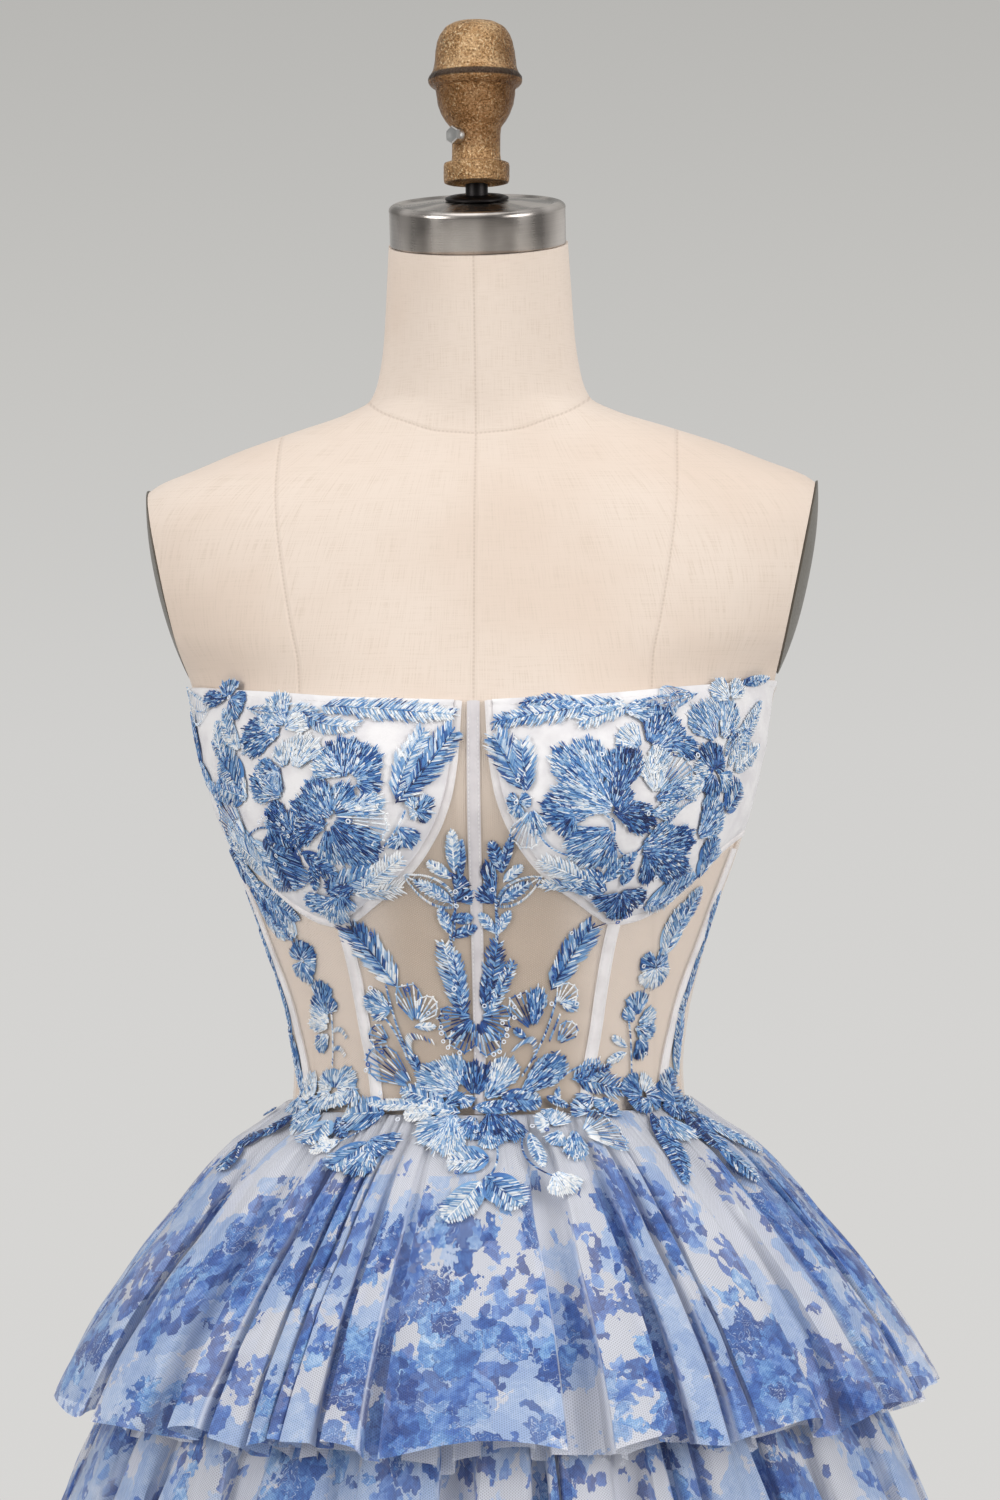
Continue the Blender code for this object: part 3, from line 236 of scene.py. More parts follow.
def shellPiece(name, inner, outer, finish, uv=None, values=None):
    # a closed wall between two skins
    rows, columns = outer.shape[:2]
    count = rows * columns
    faces = [gridFaces(rows, columns), gridFaces(rows, columns, start=count, flip=True)]
    loop = ([(0, c) for c in range(columns)] + [(r, columns - 1) for r in range(1, rows)]
            + [(rows - 1, c) for c in range(columns - 2, -1, -1)] + [(r, 0) for r in range(rows - 2, 0, -1)])
    loop = np.array([r * columns + c for r, c in loop])
    after = np.roll(loop, -1)
    faces.append(np.stack([loop + count, after + count, after, loop], -1))
    if uv is not None:
        uv = np.concatenate([uv.reshape(-1, 2)] * 2)
    if values:
        values = {label: np.concatenate([np.ravel(value)] * 2) for label, value in values.items()}
    points = np.concatenate([outer.reshape(-1, 3), inner.reshape(-1, 3)])
    return addPiece(name, points, np.concatenate(faces), finish, uv, values)


def turnedPiece(name, profile, finish, place=None, steps=64, dent=None, smooth=40):
    # the profile runs from the axis at the bottom, up the outer side, to the axis at the top
    profile = np.array(profile, float)
    inner = profile[1:-1]
    turn = np.linspace(-pi, pi, steps, endpoint=False)
    radius = inner[:, 0][:, None] * np.ones(steps)
    height = inner[:, 1][:, None] * np.ones(steps)
    if dent is not None:
        radius = radius - dent(turn[None, :], height)
    grid = ringPoints(radius, turn, height)
    rows = len(inner)
    faces = gridFaces(rows, steps, True).tolist()
    low, high = rows * steps, rows * steps + 1
    for index in range(steps):
        after = (index + 1) % steps
        faces.append((low, after, index))
        faces.append((high, (rows - 1) * steps + index, (rows - 1) * steps + after))
    points = np.concatenate([grid.reshape(-1, 3), [(0, 0, profile[0, 1]), (0, 0, profile[-1, 1])]])
    run = sumsOf(np.hypot(*np.diff(inner, axis=0).T))
    wide = inner[:, 0].max()
    uv = np.stack([np.broadcast_to(turn * wide, radius.shape), np.broadcast_to(run[:, None], radius.shape)], -1)
    uv = np.concatenate([uv.reshape(-1, 2), [(0, 0), (0, run[-1])]])
    if place is not None:
        points = np.array([place @ Vector(point) for point in points])
    return addPiece(name, points, faces, finish, uv, wrap=2 * pi * wide, smooth=smooth)


def roundedProfile(corners, radius, steps=4):
    # softens the corners of an outline of (radius, height) points
    corners = [Vector(corner) for corner in corners]
    made = [corners[0]]
    for before, corner, after in zip(corners, corners[1:], corners[2:]):
        reach = min(radius, (corner - before).length / 2.2, (after - corner).length / 2.2)
        first = corner + (before - corner).normalized() * reach
        last = corner + (after - corner).normalized() * reach
        for index in range(steps + 1):
            part = index / steps
            made.append(first * (1 - part) ** 2 + corner * 2 * part * (1 - part) + last * part ** 2)
    made.append(corners[-1])
    return [tuple(point) for point in made]


# Shader nodes

def tone(red, green, blue, alpha=1.0):
    made = []
    for value in (red, green, blue):
        value /= 255
        made.append(value / 12.92 if value <= 0.04045 else ((value + 0.055) / 1.055) ** 2.4)
    return (*made, alpha)


wiring = {"tree": None}  # the node tree that put and wire work in


def wire(start, end):
    wiring["tree"].links.new(start, end)


def put(kind, wires=None, **settings):
    node = wiring["tree"].nodes.new(kind)
    for key, value in settings.items():
        setattr(node, key, value)
    for key, value in (wires or {}).items():
        if isinstance(value, bpy.types.NodeSocket):
            wire(value, node.inputs[key])
        else:
            node.inputs[key].default_value = value
    return node


def calc(operation, first, second=0.0, third=0.0, clamp=False):
    node = put("ShaderNodeMath", {0: first, 1: second, 2: third}, operation=operation, use_clamp=clamp)
    return node.outputs[0]


def times(first, second):
    return calc("MULTIPLY", first, second)


def timesPlus(first, second, third, clamp=False):
    return calc("MULTIPLY_ADD", first, second, third, clamp)


def step(value, low, high, start=0.0, end=1.0):
    node = put("ShaderNodeMapRange", {0: value, 1: low, 2: high, 3: start, 4: end},
               interpolation_type="SMOOTHSTEP")
    return node.outputs[0]


def blendColour(factor, first, second, way="MIX"):
    node = put("ShaderNodeMix", {0: factor, 6: first, 7: second}, data_type="RGBA", blend_type=way)
    return node.outputs[2]


def ramp(factor, stops):
    # each stop: its place, and red, green and blue up to 255
    node = put("ShaderNodeValToRGB", {0: factor})
    elements = node.color_ramp.elements
    while len(elements) > 1:
        elements.remove(elements[-1])
    for index, (position, *colour) in enumerate(stops):
        element = elements.new(position) if index else elements[0]
        element.position, element.color = position, tone(*colour)
    return node.outputs[0]


def noise(vector, scale, detail=2.0, rough=0.5, output=0):
    return put("ShaderNodeTexNoise", {"Vector": vector, "Scale": scale, "Detail": detail,
                                            "Roughness": rough}).outputs[output]


def stretched(vector, scale, location=(0, 0, 0), turn=0.0):
    return put("ShaderNodeMapping", {"Vector": vector, "Scale": scale, "Location": location,
                                           "Rotation": (0, 0, turn)}).outputs[0]


def startGroup(name, inputs, outputs, kind="ShaderNodeTree"):
    group = bpy.data.node_groups.new(name, kind)
    wiring["tree"] = group
    for label, kind, value in inputs:
        socket = group.interface.new_socket(name=label, in_out="INPUT", socket_type="NodeSocket" + kind)
        if value is not None:
            socket.default_value = value
    for label, kind in outputs:
        group.interface.new_socket(name=label, in_out="OUTPUT", socket_type="NodeSocket" + kind)
    return group, group.nodes.new("NodeGroupInput").outputs, group.nodes.new("NodeGroupOutput").inputs


def useGroup(group, wires):
    return put("ShaderNodeGroup", wires, node_tree=group).outputs


def newFinish(name, colour, roughness, **values):
    finish = bpy.data.materials.new(name)
    finish.use_nodes = True
    wiring["tree"] = finish.node_tree
    shader = finish.node_tree.nodes["Principled BSDF"].inputs
    for key, value in {"Base Color": colour, "Roughness": roughness, **values}.items():
        shader[key.replace("_", " ")].default_value = value
    finish.diffuse_color = colour
    return finish, shader


def bump(height, strength, distance, normal=None):
    wires = {"Height": height, "Strength": strength, "Distance": distance}
    if normal is not None:
        wires["Normal"] = normal
    return put("ShaderNodeBump", wires).outputs[0]


def uvOf():
    return put("ShaderNodeUVMap", uv_map="UVMap").outputs[0]


def attributeOf(label, output="Fac"):
    return put("ShaderNodeAttribute", attribute_name=label).outputs[output]


def placeOf():
    return put("ShaderNodeTexCoord").outputs["Object"]


def makeWeaveGroup():
    # plain weave of round threads, with a few thick ones
    group, given, result = startGroup("plainWeave", [("Vector", "Vector", None), ("Pitch", "Float", 0.0007)],
                                      [("Height", "Float"), ("Slub", "Float")])
    parts = put("ShaderNodeSeparateXYZ", {0: given["Vector"]}).outputs
    turns = calc("DIVIDE", 2 * pi, given["Pitch"])
    across = calc("SINE", times(parts[0], turns))
    along = calc("SINE", times(parts[1], turns))
    wire(timesPlus(across, times(along, 0.5), 0.5), result[0])
    warp = noise(stretched(given["Vector"], (1500, 55, 1)), 1.0, 1.0)
    weft = noise(stretched(given["Vector"], (40, 1300, 1)), 1.0, 1.0)
    wire(timesPlus(warp, 0.6, times(weft, 0.4)), result[1])
    return group


def makeNetGroup():
    # fine net: 1 on the threads, 0 in the holes
    group, given, result = startGroup("fineNet", [("Vector", "Vector", None), ("Cell", "Float", 0.0012)],
                                      [("Thread", "Float")])
    parts = put("ShaderNodeSeparateXYZ", {0: given["Vector"]}).outputs
    turns = calc("DIVIDE", 2 * pi, given["Cell"])
    total = calc("COSINE", times(parts[0], turns))
    for side in (1, -1):
        slant = timesPlus(parts[0], 0.5 * side, times(parts[1], 0.866))
        total = calc("ADD", total, calc("COSINE", times(slant, turns)))
    wire(step(total, 0.9, -0.5), result[0])
    return group


def makeSeamGroup():
    # a pressed seam with small stitches: the distance from it, and a run along it
    group, given, result = startGroup("pressedSeam", [("Distance", "Float", 1.0), ("Run", "Float", 0.0),
                                                      ("Stitch", "Float", 0.0024)],
                                      [("Line", "Float"), ("Dip", "Float")])
    away = calc("ABSOLUTE", given["Distance"])
    dots = calc("SINE", times(given["Run"],
                                    calc("DIVIDE", 2 * pi, given["Stitch"])))
    line = step(away, 0.0009, 0.0002)
    wire(times(line, step(dots, -0.6, 0.5, 0.45, 1.0)), result[0])
    wire(step(away, 0.0, 0.0022), result[1])
    return group


def makePaintGroup():
    # blots of watercolour in loose clusters: whole blots are kept or left out by the drift of the clusters
    group, given, result = startGroup(
        "watercolour", [("Vector", "Vector", None), ("Blots", "Float", 66.0), ("Clusters", "Float", 9.0),
                        ("Density", "Float", 0.5), ("Bend", "Float", 0.02)],
        [("Mask", "Float"), ("Tone", "Float"), ("Line", "Float"), ("Violet", "Float"), ("Curl", "Float")])
    bent = given["Vector"]
    for scale, part in ((75.0, 1.0), (300.0, 0.28)):
        wobble = noise(given["Vector"], scale, 2.0, 0.6, output=1)
        offset = put("ShaderNodeVectorMath", {0: wobble, 1: (0.5, 0.5, 0.5)}, operation="SUBTRACT").outputs[0]
        reach = times(given["Bend"], part)
        offset = put("ShaderNodeVectorMath", {0: offset, "Scale": reach}, operation="SCALE").outputs[0]
        bent = put("ShaderNodeVectorMath", {0: bent, 1: offset}, operation="ADD").outputs[0]
    cells = put("ShaderNodeTexVoronoi", {"Vector": bent, "Scale": given["Blots"], "Randomness": 1.0}).outputs
    edge = put("ShaderNodeTexVoronoi", {"Vector": bent, "Scale": given["Blots"], "Randomness": 1.0},
               feature="DISTANCE_TO_EDGE").outputs["Distance"]
    drift = noise(cells["Position"], given["Clusters"], 2.0, 0.55)
    random = put("ShaderNodeSeparateColor", {0: cells["Color"]}).outputs
    inside = timesPlus(random[1], 0.13, calc("SUBTRACT", drift, 0.065))
    over = calc("SUBTRACT", inside, calc("SUBTRACT", 1.0, given["Density"]))
    near = calc("SUBTRACT", timesPlus(random[2], 0.3, 0.62), cells["Distance"])
    kept = times(calc("GREATER_THAN", over, 0.0), step(near, -0.01, 0.04))
    wire(kept, result[0])
    wash = noise(bent, 120.0, 3.0, 0.65)
    deep = timesPlus(over, -1.3, timesPlus(random[0], 0.62, 0.12))
    wire(timesPlus(calc("SUBTRACT", wash, 0.5), 1.5, deep, clamp=True), result[1])
    swirl = calc("ABSOLUTE", calc("SUBTRACT", noise(bent, 62.0, 1.0), 0.5))
    swirl = calc("PINGPONG", swirl, 0.045)
    patchy = step(noise(cells["Position"], 31.0, 1.0), 0.47, 0.53)
    wire(times(step(swirl, 0.0085, 0.003), patchy), result[4])
    drawn = step(noise(bent, 48.0, 2.0), 0.46, 0.56)
    rim = calc("MAXIMUM", step(edge, 0.055, 0.01), step(near, 0.09, 0.03))
    wire(times(rim, drawn), result[2])
    wire(step(noise(cells["Position"], 24.0, 1.0), 0.54, 0.6), result[3])
    return group


weaveGroup = makeWeaveGroup()
netGroup = makeNetGroup()
seamGroup = makeSeamGroup()
paintGroup = makePaintGroup()


# Finishes of the form and its stand

def makeLinen():
    finish, shader = newFinish("formLinen", tone(236, 221, 206), 0.88, Sheen_Weight=0.15)
    weave = useGroup(weaveGroup, {"Vector": uvOf(), "Pitch": 0.0008})
    place = put("ShaderNodeSeparateXYZ", {0: placeOf()}).outputs
    princess = useGroup(seamGroup, {"Distance": attributeOf("princessSeam"), "Run": place[2]})
    neck = useGroup(seamGroup, {"Distance": attributeOf("neckSeam"), "Run": place[0]})
    centre = useGroup(seamGroup, {"Distance": place[0], "Run": place[2]})
    side = useGroup(seamGroup, {"Distance": attributeOf("sideSeam"), "Run": place[2]})
    lines = calc("MAXIMUM", calc("MAXIMUM", princess[0], neck[0]),
                 calc("MAXIMUM", centre[0], side[0]))
    dips = calc("MINIMUM", calc("MINIMUM", princess[1], neck[1]),
                calc("MINIMUM", centre[1], side[1]))
    stain = noise(placeOf(), 9.0, 3.0)
    colour = blendColour(step(stain, 0.35, 0.7), tone(229, 214, 201), tone(223, 205, 190))
    colour = blendColour(step(weave["Slub"], 0.46, 0.78), colour, tone(214, 197, 181))
    colour = blendColour(times(lines, 0.3), colour, tone(158, 136, 118))
    wire(colour, shader["Base Color"])
    height = timesPlus(weave["Height"], 0.35, times(weave["Slub"], 0.5))
    thread = bump(height, 0.22, 0.0004)
    wire(bump(dips, 0.4, 0.0009, thread), shader["Normal"])
    return finish


def makeMetal(name, dark, light, low, high, streak, grain=0.0, reflectionBands=0.0):
    finish, shader = newFinish(name, light, low, Metallic=1.0)
    uv = uvOf()
    lines = noise(stretched(uv, (6, streak, 1)), 1.0, 3.0, 0.6)
    cloud = noise(placeOf(), 45.0, 3.0)
    if reflectionBands:  # painted reflection: broad light and dark bars round the piece, as if the studio were mirrored in it; they also steer the roughness and bump
        paintedReflectionBars = step(noise(stretched(uv, (reflectionBands, 0.5, 1)), 1.0, 1.5, 0.6), 0.36, 0.62)
        lines = timesPlus(paintedReflectionBars, 1.0, timesPlus(lines, 0.5, -0.35))
    wire(blendColour(timesPlus(lines, 0.7, times(cloud, 0.3)),
                               dark, light), shader["Base Color"])
    wire(step(lines, 0.3, 0.7, low, high), shader["Roughness"])
    height = timesPlus(lines, 0.4, times(cloud, grain))
    wire(bump(height, 0.25, 0.0003), shader["Normal"])
    return finish


finialLook = {"foot": 0.53, "lip": 0.0612, "dentHeight": 0.041, "dentTurn": radians(-8), "dentDeep": 0.0022}


def makeBrass():
    finish, shader = newFinish("castBrass", tone(186, 144, 98), 0.34, Metallic=0.95)
    place = placeOf()
    cloud = noise(place, 70.0, 3.0, 0.6)
    pitsAndGlints = noise(place, 720.0, 2.0, 0.75)
    speck = noise(place, 1300.0, 2.0, 0.6)
    colour = ramp(cloud, [(0.25, 158, 118, 76), (0.5, 196, 154, 108), (0.75, 228, 192, 148)])
    colour = blendColour(step(pitsAndGlints, 0.49, 0.37, 0.0, 0.6), colour, tone(88, 60, 34))
    # painted highlights: pale glints on the raised grain
    colour = blendColour(step(pitsAndGlints, 0.55, 0.66, 0.0, 0.75), colour, tone(254, 232, 192))
    across, _, height = put("ShaderNodeSeparateXYZ", {0: place}).outputs
    rim = formShape["waist"] + finialLook["foot"] + finialLook["lip"]
    lip = calc("ABSOLUTE", calc("SUBTRACT", height, rim + 0.0002))
    worn = times(step(lip, 0.0026, 0.0014), step(cloud, 0.24, 0.36))
    colour = blendColour(times(worn, 0.9), colour, tone(66, 58, 56))
    # painted shade: the band below the lip is darkened, where the lip shades it
    below = times(step(height, rim - 0.046, rim - 0.036), step(height, rim + 0.002, rim - 0.004))
    colour = blendColour(times(below, 0.55), colour, tone(150, 116, 78), "MULTIPLY")
    # painted reflection: the left and right sides are darkened, as a dark room mirrored in the metal
    edges = calc("MAXIMUM", step(across, 0.009, 0.021), step(across, -0.015, -0.024))
    colour = blendColour(times(edges, 0.5), colour, tone(128, 96, 66), "MULTIPLY")
    wire(colour, shader["Base Color"])
    wire(step(cloud, 0.3, 0.7, 0.26, 0.42), shader["Roughness"])
    rough = timesPlus(pitsAndGlints, 0.7, times(speck, 0.3))
    wire(bump(rough, 0.9, 0.003), shader["Normal"])
    return finish


def makePlastic():
    finish, shader = newFinish("armholePlastic", tone(92, 86, 80), 0.42)
    place = placeOf()
    grain = noise(place, 900.0, 2.0)
    wear = noise(place, 30.0, 4.0)
    wire(blendColour(wear, tone(88, 84, 77), tone(112, 107, 98)), shader["Base Color"])
    wire(step(grain, 0.3, 0.7, 0.36, 0.5), shader["Roughness"])
    wire(bump(grain, 0.2, 0.0003), shader["Normal"])
    return finish


linen = makeLinen()
# the bars on the steel are a painted reflection
steel = makeMetal("brushedSteel", tone(94, 88, 84), tone(240, 233, 227), 0.22, 0.34, 3200, reflectionBands=26.0)
plated = makeMetal("platedScrew", tone(120, 120, 118), tone(236, 236, 234), 0.25, 0.4, 500, 0.6)
blackMetal = makeMetal("blackSteel", tone(20, 19, 19), tone(52, 50, 50), 0.34, 0.52, 700, 0.5)
brass = makeBrass()
plastic = makePlastic()
print("stage: finishes of the form and stand")


# The form

formLook = {
    "columns": 176, "uvRadius": 0.13,
    "rows": ((-0.335, 0.2, 54), (0.2, 0.335, 34), (0.335, 0.425, 46), (0.425, 0.4965, 18)),  # low, high, count
    "princess": ((0.15, 0.0968), (0.205, 0.0974), (0.2515, 0.099), (0.275, 0.1035), (0.309, 0.1092), (0.332, 0.1122),
                 (0.355, 0.1138), (0.4, 0.114)),
    "neckSeam": ((0, 0.3825), (23, 0.3845), (44, 0.392), (70, 0.4025), (100, 0.4075), (140, 0.4075), (180, 0.406)),
}


def makeForm():
    parts = [np.linspace(*span) for span in formLook["rows"]]
    heights = np.concatenate([part[:-1] for part in parts[:-1]] + parts[-1:])
    columns = formLook["columns"]
    turns = np.linspace(-pi, pi, columns, endpoint=False)
    angle, height = np.meshgrid(turns, heights)
    grid = formSurface(angle, height, cut=False)
    rows = len(heights)
    faces = gridFaces(rows, columns, True).tolist()
    faces.append(list(range(columns))[::-1])
    faces.append([(rows - 1) * columns + index for index in range(columns)])
    piece = addPiece("dressForm", grid, faces, linen)
    work = bmesh.new()
    work.from_mesh(piece.data)
    for side in (-1, 1):  # the armholes are cut flat
        spot = Vector((side * armholeFace(0.3), 0, formShape["waist"] + 0.3))
        away = Vector((side, 0, -formShape["faceLean"])).normalized()
        cut = bmesh.ops.bisect_plane(work, geom=work.verts[:] + work.edges[:] + work.faces[:], dist=1e-6,
                                     plane_co=spot, plane_no=away, clear_outer=True)
        rim = [item for item in cut["geom_cut"] if isinstance(item, bmesh.types.BMEdge)]
        bmesh.ops.edgeloop_fill(work, edges=rim)
    bmesh.ops.triangulate(work, faces=[face for face in work.faces if len(face.verts) > 4])
    bmesh.ops.recalc_face_normals(work, faces=work.faces)
    work.to_mesh(piece.data)
    work.free()
    mesh = piece.data
    points = np.zeros(len(mesh.vertices) * 3)
    mesh.vertices.foreach_get("co", points)
    points = points.reshape(-1, 3)
    angle = np.arctan2(points[:, 0], -points[:, 1])
    height = points[:, 2] - formShape["waist"]
    for _ in range(4):
        lean = smoothStep(formShape["neckBend"], formShape["neckTop"], height)
        height = points[:, 2] - formShape["waist"] - points[:, 1] * tan(formShape["neckTilt"]) * lean
    radius = np.hypot(points[:, 0], points[:, 1])
    degrees = np.degrees(np.abs(angle))
    seams = {
        "princessSeam": np.where(degrees > 96, 1.0, np.abs(points[:, 0]) - readTable(formLook["princess"], 1, height)),
        "neckSeam": height - readTable(formLook["neckSeam"], 1, degrees),
        "sideSeam": np.radians(degrees - 92) * radius,
    }
    setValues(mesh, seams)
    reach = formLook["uvRadius"]
    setUv(mesh, np.stack([angle * reach, height], -1), 2 * pi * reach, most=0.49)
    smoothFaces(mesh, 40)
    finishPiece(piece, "form_cloth", "form_torso")


plateLook = {"halfHeight": 0.057, "halfDepth": 0.047, "wall": 0.0062, "height": 0.301, "gap": 0.0003}


def makePlates():
    lean = atan(formShape["faceLean"])
    wall = plateLook["wall"]
    reach = np.linspace(1.0, 0, 22)  # a shallow dome that thins out towards the rim
    profile = [(0, 0), (0.99, 0), (1.0, 0.0006)] + [(part, 0.0012 + wall * (1 - part ** 2.4)) for part in reach]
    for side, mark in bothSides:
        foot = Vector((side * (armholeFace(plateLook["height"]) + plateLook["gap"]), 0.004,
                       formShape["waist"] + plateLook["height"]))
        turn = Matrix.Translation(foot) @ Euler((0, side * (pi / 2 + lean), 0)).to_matrix().to_4x4()
        scale = Matrix.Diagonal((plateLook["halfHeight"], plateLook["halfDepth"], 1, 1))
        piece = turnedPiece("armholePlate" + mark, profile, plastic, turn @ scale, steps=96)
        finishPiece(piece, "armhole_plate", "armhole_plate_" + mark.lower())


capLook = {"radius": 0.051, "band": 0.024, "washer": 0.0185, "washerWall": 0.003, "centre": -0.004}


def makeCap():
    radius, band = capLook["radius"], capLook["band"]
    tilt = formShape["neckTilt"]
    foot = Vector((0, capLook["centre"], formShape["waist"] + formShape["neckTop"] + capLook["centre"] * tan(tilt)))
    lift = Vector((0, -sin(tilt), cos(tilt)))
    turn = Matrix.Rotation(tilt, 4, "X")
    edge = [(0, 0), (radius - 0.0006, 0), (radius, 0.0008), (radius, band - 0.005), (radius + 0.0002, band - 0.0036)]
    edge += [(radius - 0.004 + 0.0042 * cos(bend), band - 0.0036 + 0.0036 * sin(bend))
             for bend in np.linspace(0.15, pi / 2, 9)]
    edge += [(radius - 0.0062, band - 0.0004), (radius - 0.0072, band - 0.0011), (0.034, band - 0.0002),
             (0.026, band + 0.001), (0.01, band + 0.0015), (0, band + 0.0015)]
    cap = turnedPiece("neckCap", edge, steel, Matrix.Translation(foot + lift * 0.0003) @ turn, steps=128, smooth=60)
    finishPiece(cap, "steel", "neck_cap")
    wide, wall = capLook["washer"], capLook["washerWall"]
    corners = [(0, 0), (wide - 0.0002, 0), (wide, 0.0012), (wide * 0.86, wall * 0.78), (wide * 0.5, wall), (0, wall)]
    place = Matrix.Translation(foot + lift * (band + 0.0021)) @ turn
    washer = turnedPiece("capWasher", roundedProfile(corners, 0.0009), blackMetal, place)
    finishPiece(washer, "black_metal", "cap_washer")
    low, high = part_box("finial_rod")
    middle = (low[1] + high[1]) / 2
    foot, wide = low[2] - 0.005, 0.0065
    profile = roundedProfile([(0, foot), (wide, foot), (wide, high[2]), (0, high[2])], 0.0004)
    rod = turnedPiece("finialRod", profile, blackMetal, Matrix.Translation((0, middle, 0)), steps=48)
    finishPiece(rod, "black_metal", "finial_rod")


def makeFinial():
    corners = [(0, 0.0035), (0.015, 0.003), (0.0172, 0.0), (0.0187, 0.0006), (0.019, 0.005), (0.019, 0.0105),
               (0.0184, 0.0118), (0.0142, 0.0124), (0.0139, 0.016), (0.0139, 0.029), (0.0146, 0.0325), (0.0176, 0.0362),
               (0.0202, 0.041), (0.0219, 0.0462), (0.0228, 0.052), (0.0231, 0.0548), (0.0252, 0.0558), (0.0269, 0.0576),
               (0.0273, 0.0598), (0.0268, 0.0616), (0.0254, 0.0634), (0.0242, 0.066), (0.0235, 0.07), (0.0229, 0.0755),
               (0.0219, 0.0812), (0.0203, 0.0858), (0.0172, 0.09), (0.012, 0.0928), (0.0055, 0.0939), (0, 0.0941)]

    def dent(turn, height):
        away = (np.abs(np.mod(turn + finialLook["dentTurn"] + pi, 2 * pi) - pi)) / 0.42
        up = (height - finialLook["dentHeight"]) / 0.0075
        rough = 0.00012 * np.sin(9 * turn + 300 * height) + 0.0001 * np.sin(23 * turn - 900 * height)
        return finialLook["dentDeep"] * np.exp(-(away ** 2 + up ** 2)) + rough

    low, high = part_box("finial")
    place = Matrix.Translation((0, (low[1] + high[1]) / 2, formShape["waist"] + finialLook["foot"]))
    piece = turnedPiece("castFinial", roundedProfile(corners, 0.001, 2), brass, place, steps=96, dent=dent, smooth=60)
    finishPiece(piece, "brass", "finial")
    low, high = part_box("set_screw")
    middle = Vector([(first + last) / 2 for first, last in zip(low, high)])
    out = Vector((middle[0], middle[1] - (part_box("finial")[0][1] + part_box("finial")[1][1]) / 2, 0)).normalized()
    turn = Matrix.Translation(middle) @ out.to_track_quat("Z", "Y").to_matrix().to_4x4()
    profile = roundedProfile([(0, -0.0036), (0.0046, -0.0036), (0.0043, -0.0002), (0, -0.0002)], 0.0005)
    boss = turnedPiece("screwBoss", profile, plated, turn, steps=32)
    finishPiece(boss, "steel")
    profile = [(0, -0.0004), (0.005, -0.0004), (0.0053, 0.0002), (0.0053, 0.0024), (0.0046, 0.003), (0.002, 0.0029),
               (0, 0.0026)]
    head = turnedPiece("screwHead", profile, plated, turn, steps=6, smooth=20)
    finishPiece(head, "steel", "set_screw")


standLook = {"pole": 0.016, "base": 0.21, "baseHeight": 0.03, "collarTop": 0.085, "gap": 0.0003}


def makeStand():
    wide = standLook["base"]
    corners = [(0, 0), (wide - 0.003, 0), (wide, 0.006), (wide - 0.008, 0.0125), (0.15, 0.021), (0.06, 0.029),
               (0, standLook["baseHeight"])]
    base = turnedPiece("standBase", roundedProfile(corners, 0.004), blackMetal, steps=120)
    finishPiece(base, "black_metal", "stand_base")
    low = standLook["baseHeight"] + standLook["gap"]
    pole, top = standLook["pole"], standLook["collarTop"]
    corners = [(0, low), (pole + 0.026, low), (pole + 0.024, low + 0.004), (pole + 0.01, low + 0.015),
               (pole + 0.008, top - 0.006), (pole + 0.006, top - 0.001), (pole + 0.0002, top), (0, top)]
    collar = turnedPiece("poleCollar", roundedProfile(corners, 0.003), steel, steps=72)
    finishPiece(collar, "steel", "pole_collar")
    low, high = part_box("stand_pole")
    profile = roundedProfile([(0, low[2]), (pole, low[2]), (pole, high[2]), (0, high[2])], 0.0006)
    rod = turnedPiece("standPole", profile, steel, steps=72)
    finishPiece(rod, "steel", "stand_pole")


makeForm()
makePlates()
makeCap()
makeFinial()
makeStand()
print("stage: form and stand")


# Finishes of the bodice

def makeNetFinish():
    finish, shader = newFinish("nudeNet", tone(206, 192, 180), 0.8, Sheen_Weight=0.2)
    thread = useGroup(netGroup, {"Vector": uvOf(), "Cell": 0.0011})["Thread"]
    cloud = noise(placeOf(), 25.0, 2.0)
    spot = put("ShaderNodeSeparateXYZ", {0: placeOf()}).outputs
    # painted shade: the net is darker at the centre front below the bust, and lighter at the sides, the back and the
    # upper part, where more light falls; the sides are also a little more sheer
    paintedLitSides = calc("MAXIMUM", step(calc("ABSOLUTE", spot[0]), 0.036, 0.074), step(spot[1], 0.0, 0.03))
    upper = step(spot[2], formShape["waist"] + 0.11, formShape["waist"] + 0.19)
    colour = blendColour(cloud, tone(194, 177, 160), tone(210, 194, 178))
    colour = blendColour(calc("MAXIMUM", paintedLitSides, times(upper, 0.5)), colour, tone(250, 238, 227))
    wire(colour, shader["Base Color"])
    cover = step(thread, 0.0, 1.0, 0.28, 0.74)
    wire(times(cover, step(paintedLitSides, 0.0, 1.0, 1.0, 0.8)), shader["Alpha"])
    wire(bump(thread, 0.3, 0.0002), shader["Normal"])
    return finish


def makeSatinFinish(name, light, dark, shine, pitch=0.0006):
    finish, shader = newFinish(name, light, shine, Sheen_Weight=0.35, Sheen_Roughness=0.4)
    weave = useGroup(weaveGroup, {"Vector": uvOf(), "Pitch": pitch})
    cloud = noise(placeOf(), 60.0, 3.0)
    wire(blendColour(step(cloud, 0.35, 0.7), light, dark), shader["Base Color"])
    height = timesPlus(weave["Height"], 0.3, weave["Slub"])
    wire(bump(height, 0.22, 0.0003), shader["Normal"])
    wire(step(weave["Slub"], 0.3, 0.7, shine, shine + 0.15), shader["Roughness"])
    return finish


def makeThreadFinish(name, light, dark, shine=0.4):
    finish, shader = newFinish(name, light, shine, Sheen_Weight=0.3)
    twist = noise(stretched(placeOf(), (900, 900, 300)), 1.0, 1.0)
    wire(blendColour(twist, dark, light), shader["Base Color"])
    wire(bump(twist, 0.3, 0.0002), shader["Normal"])
    return finish


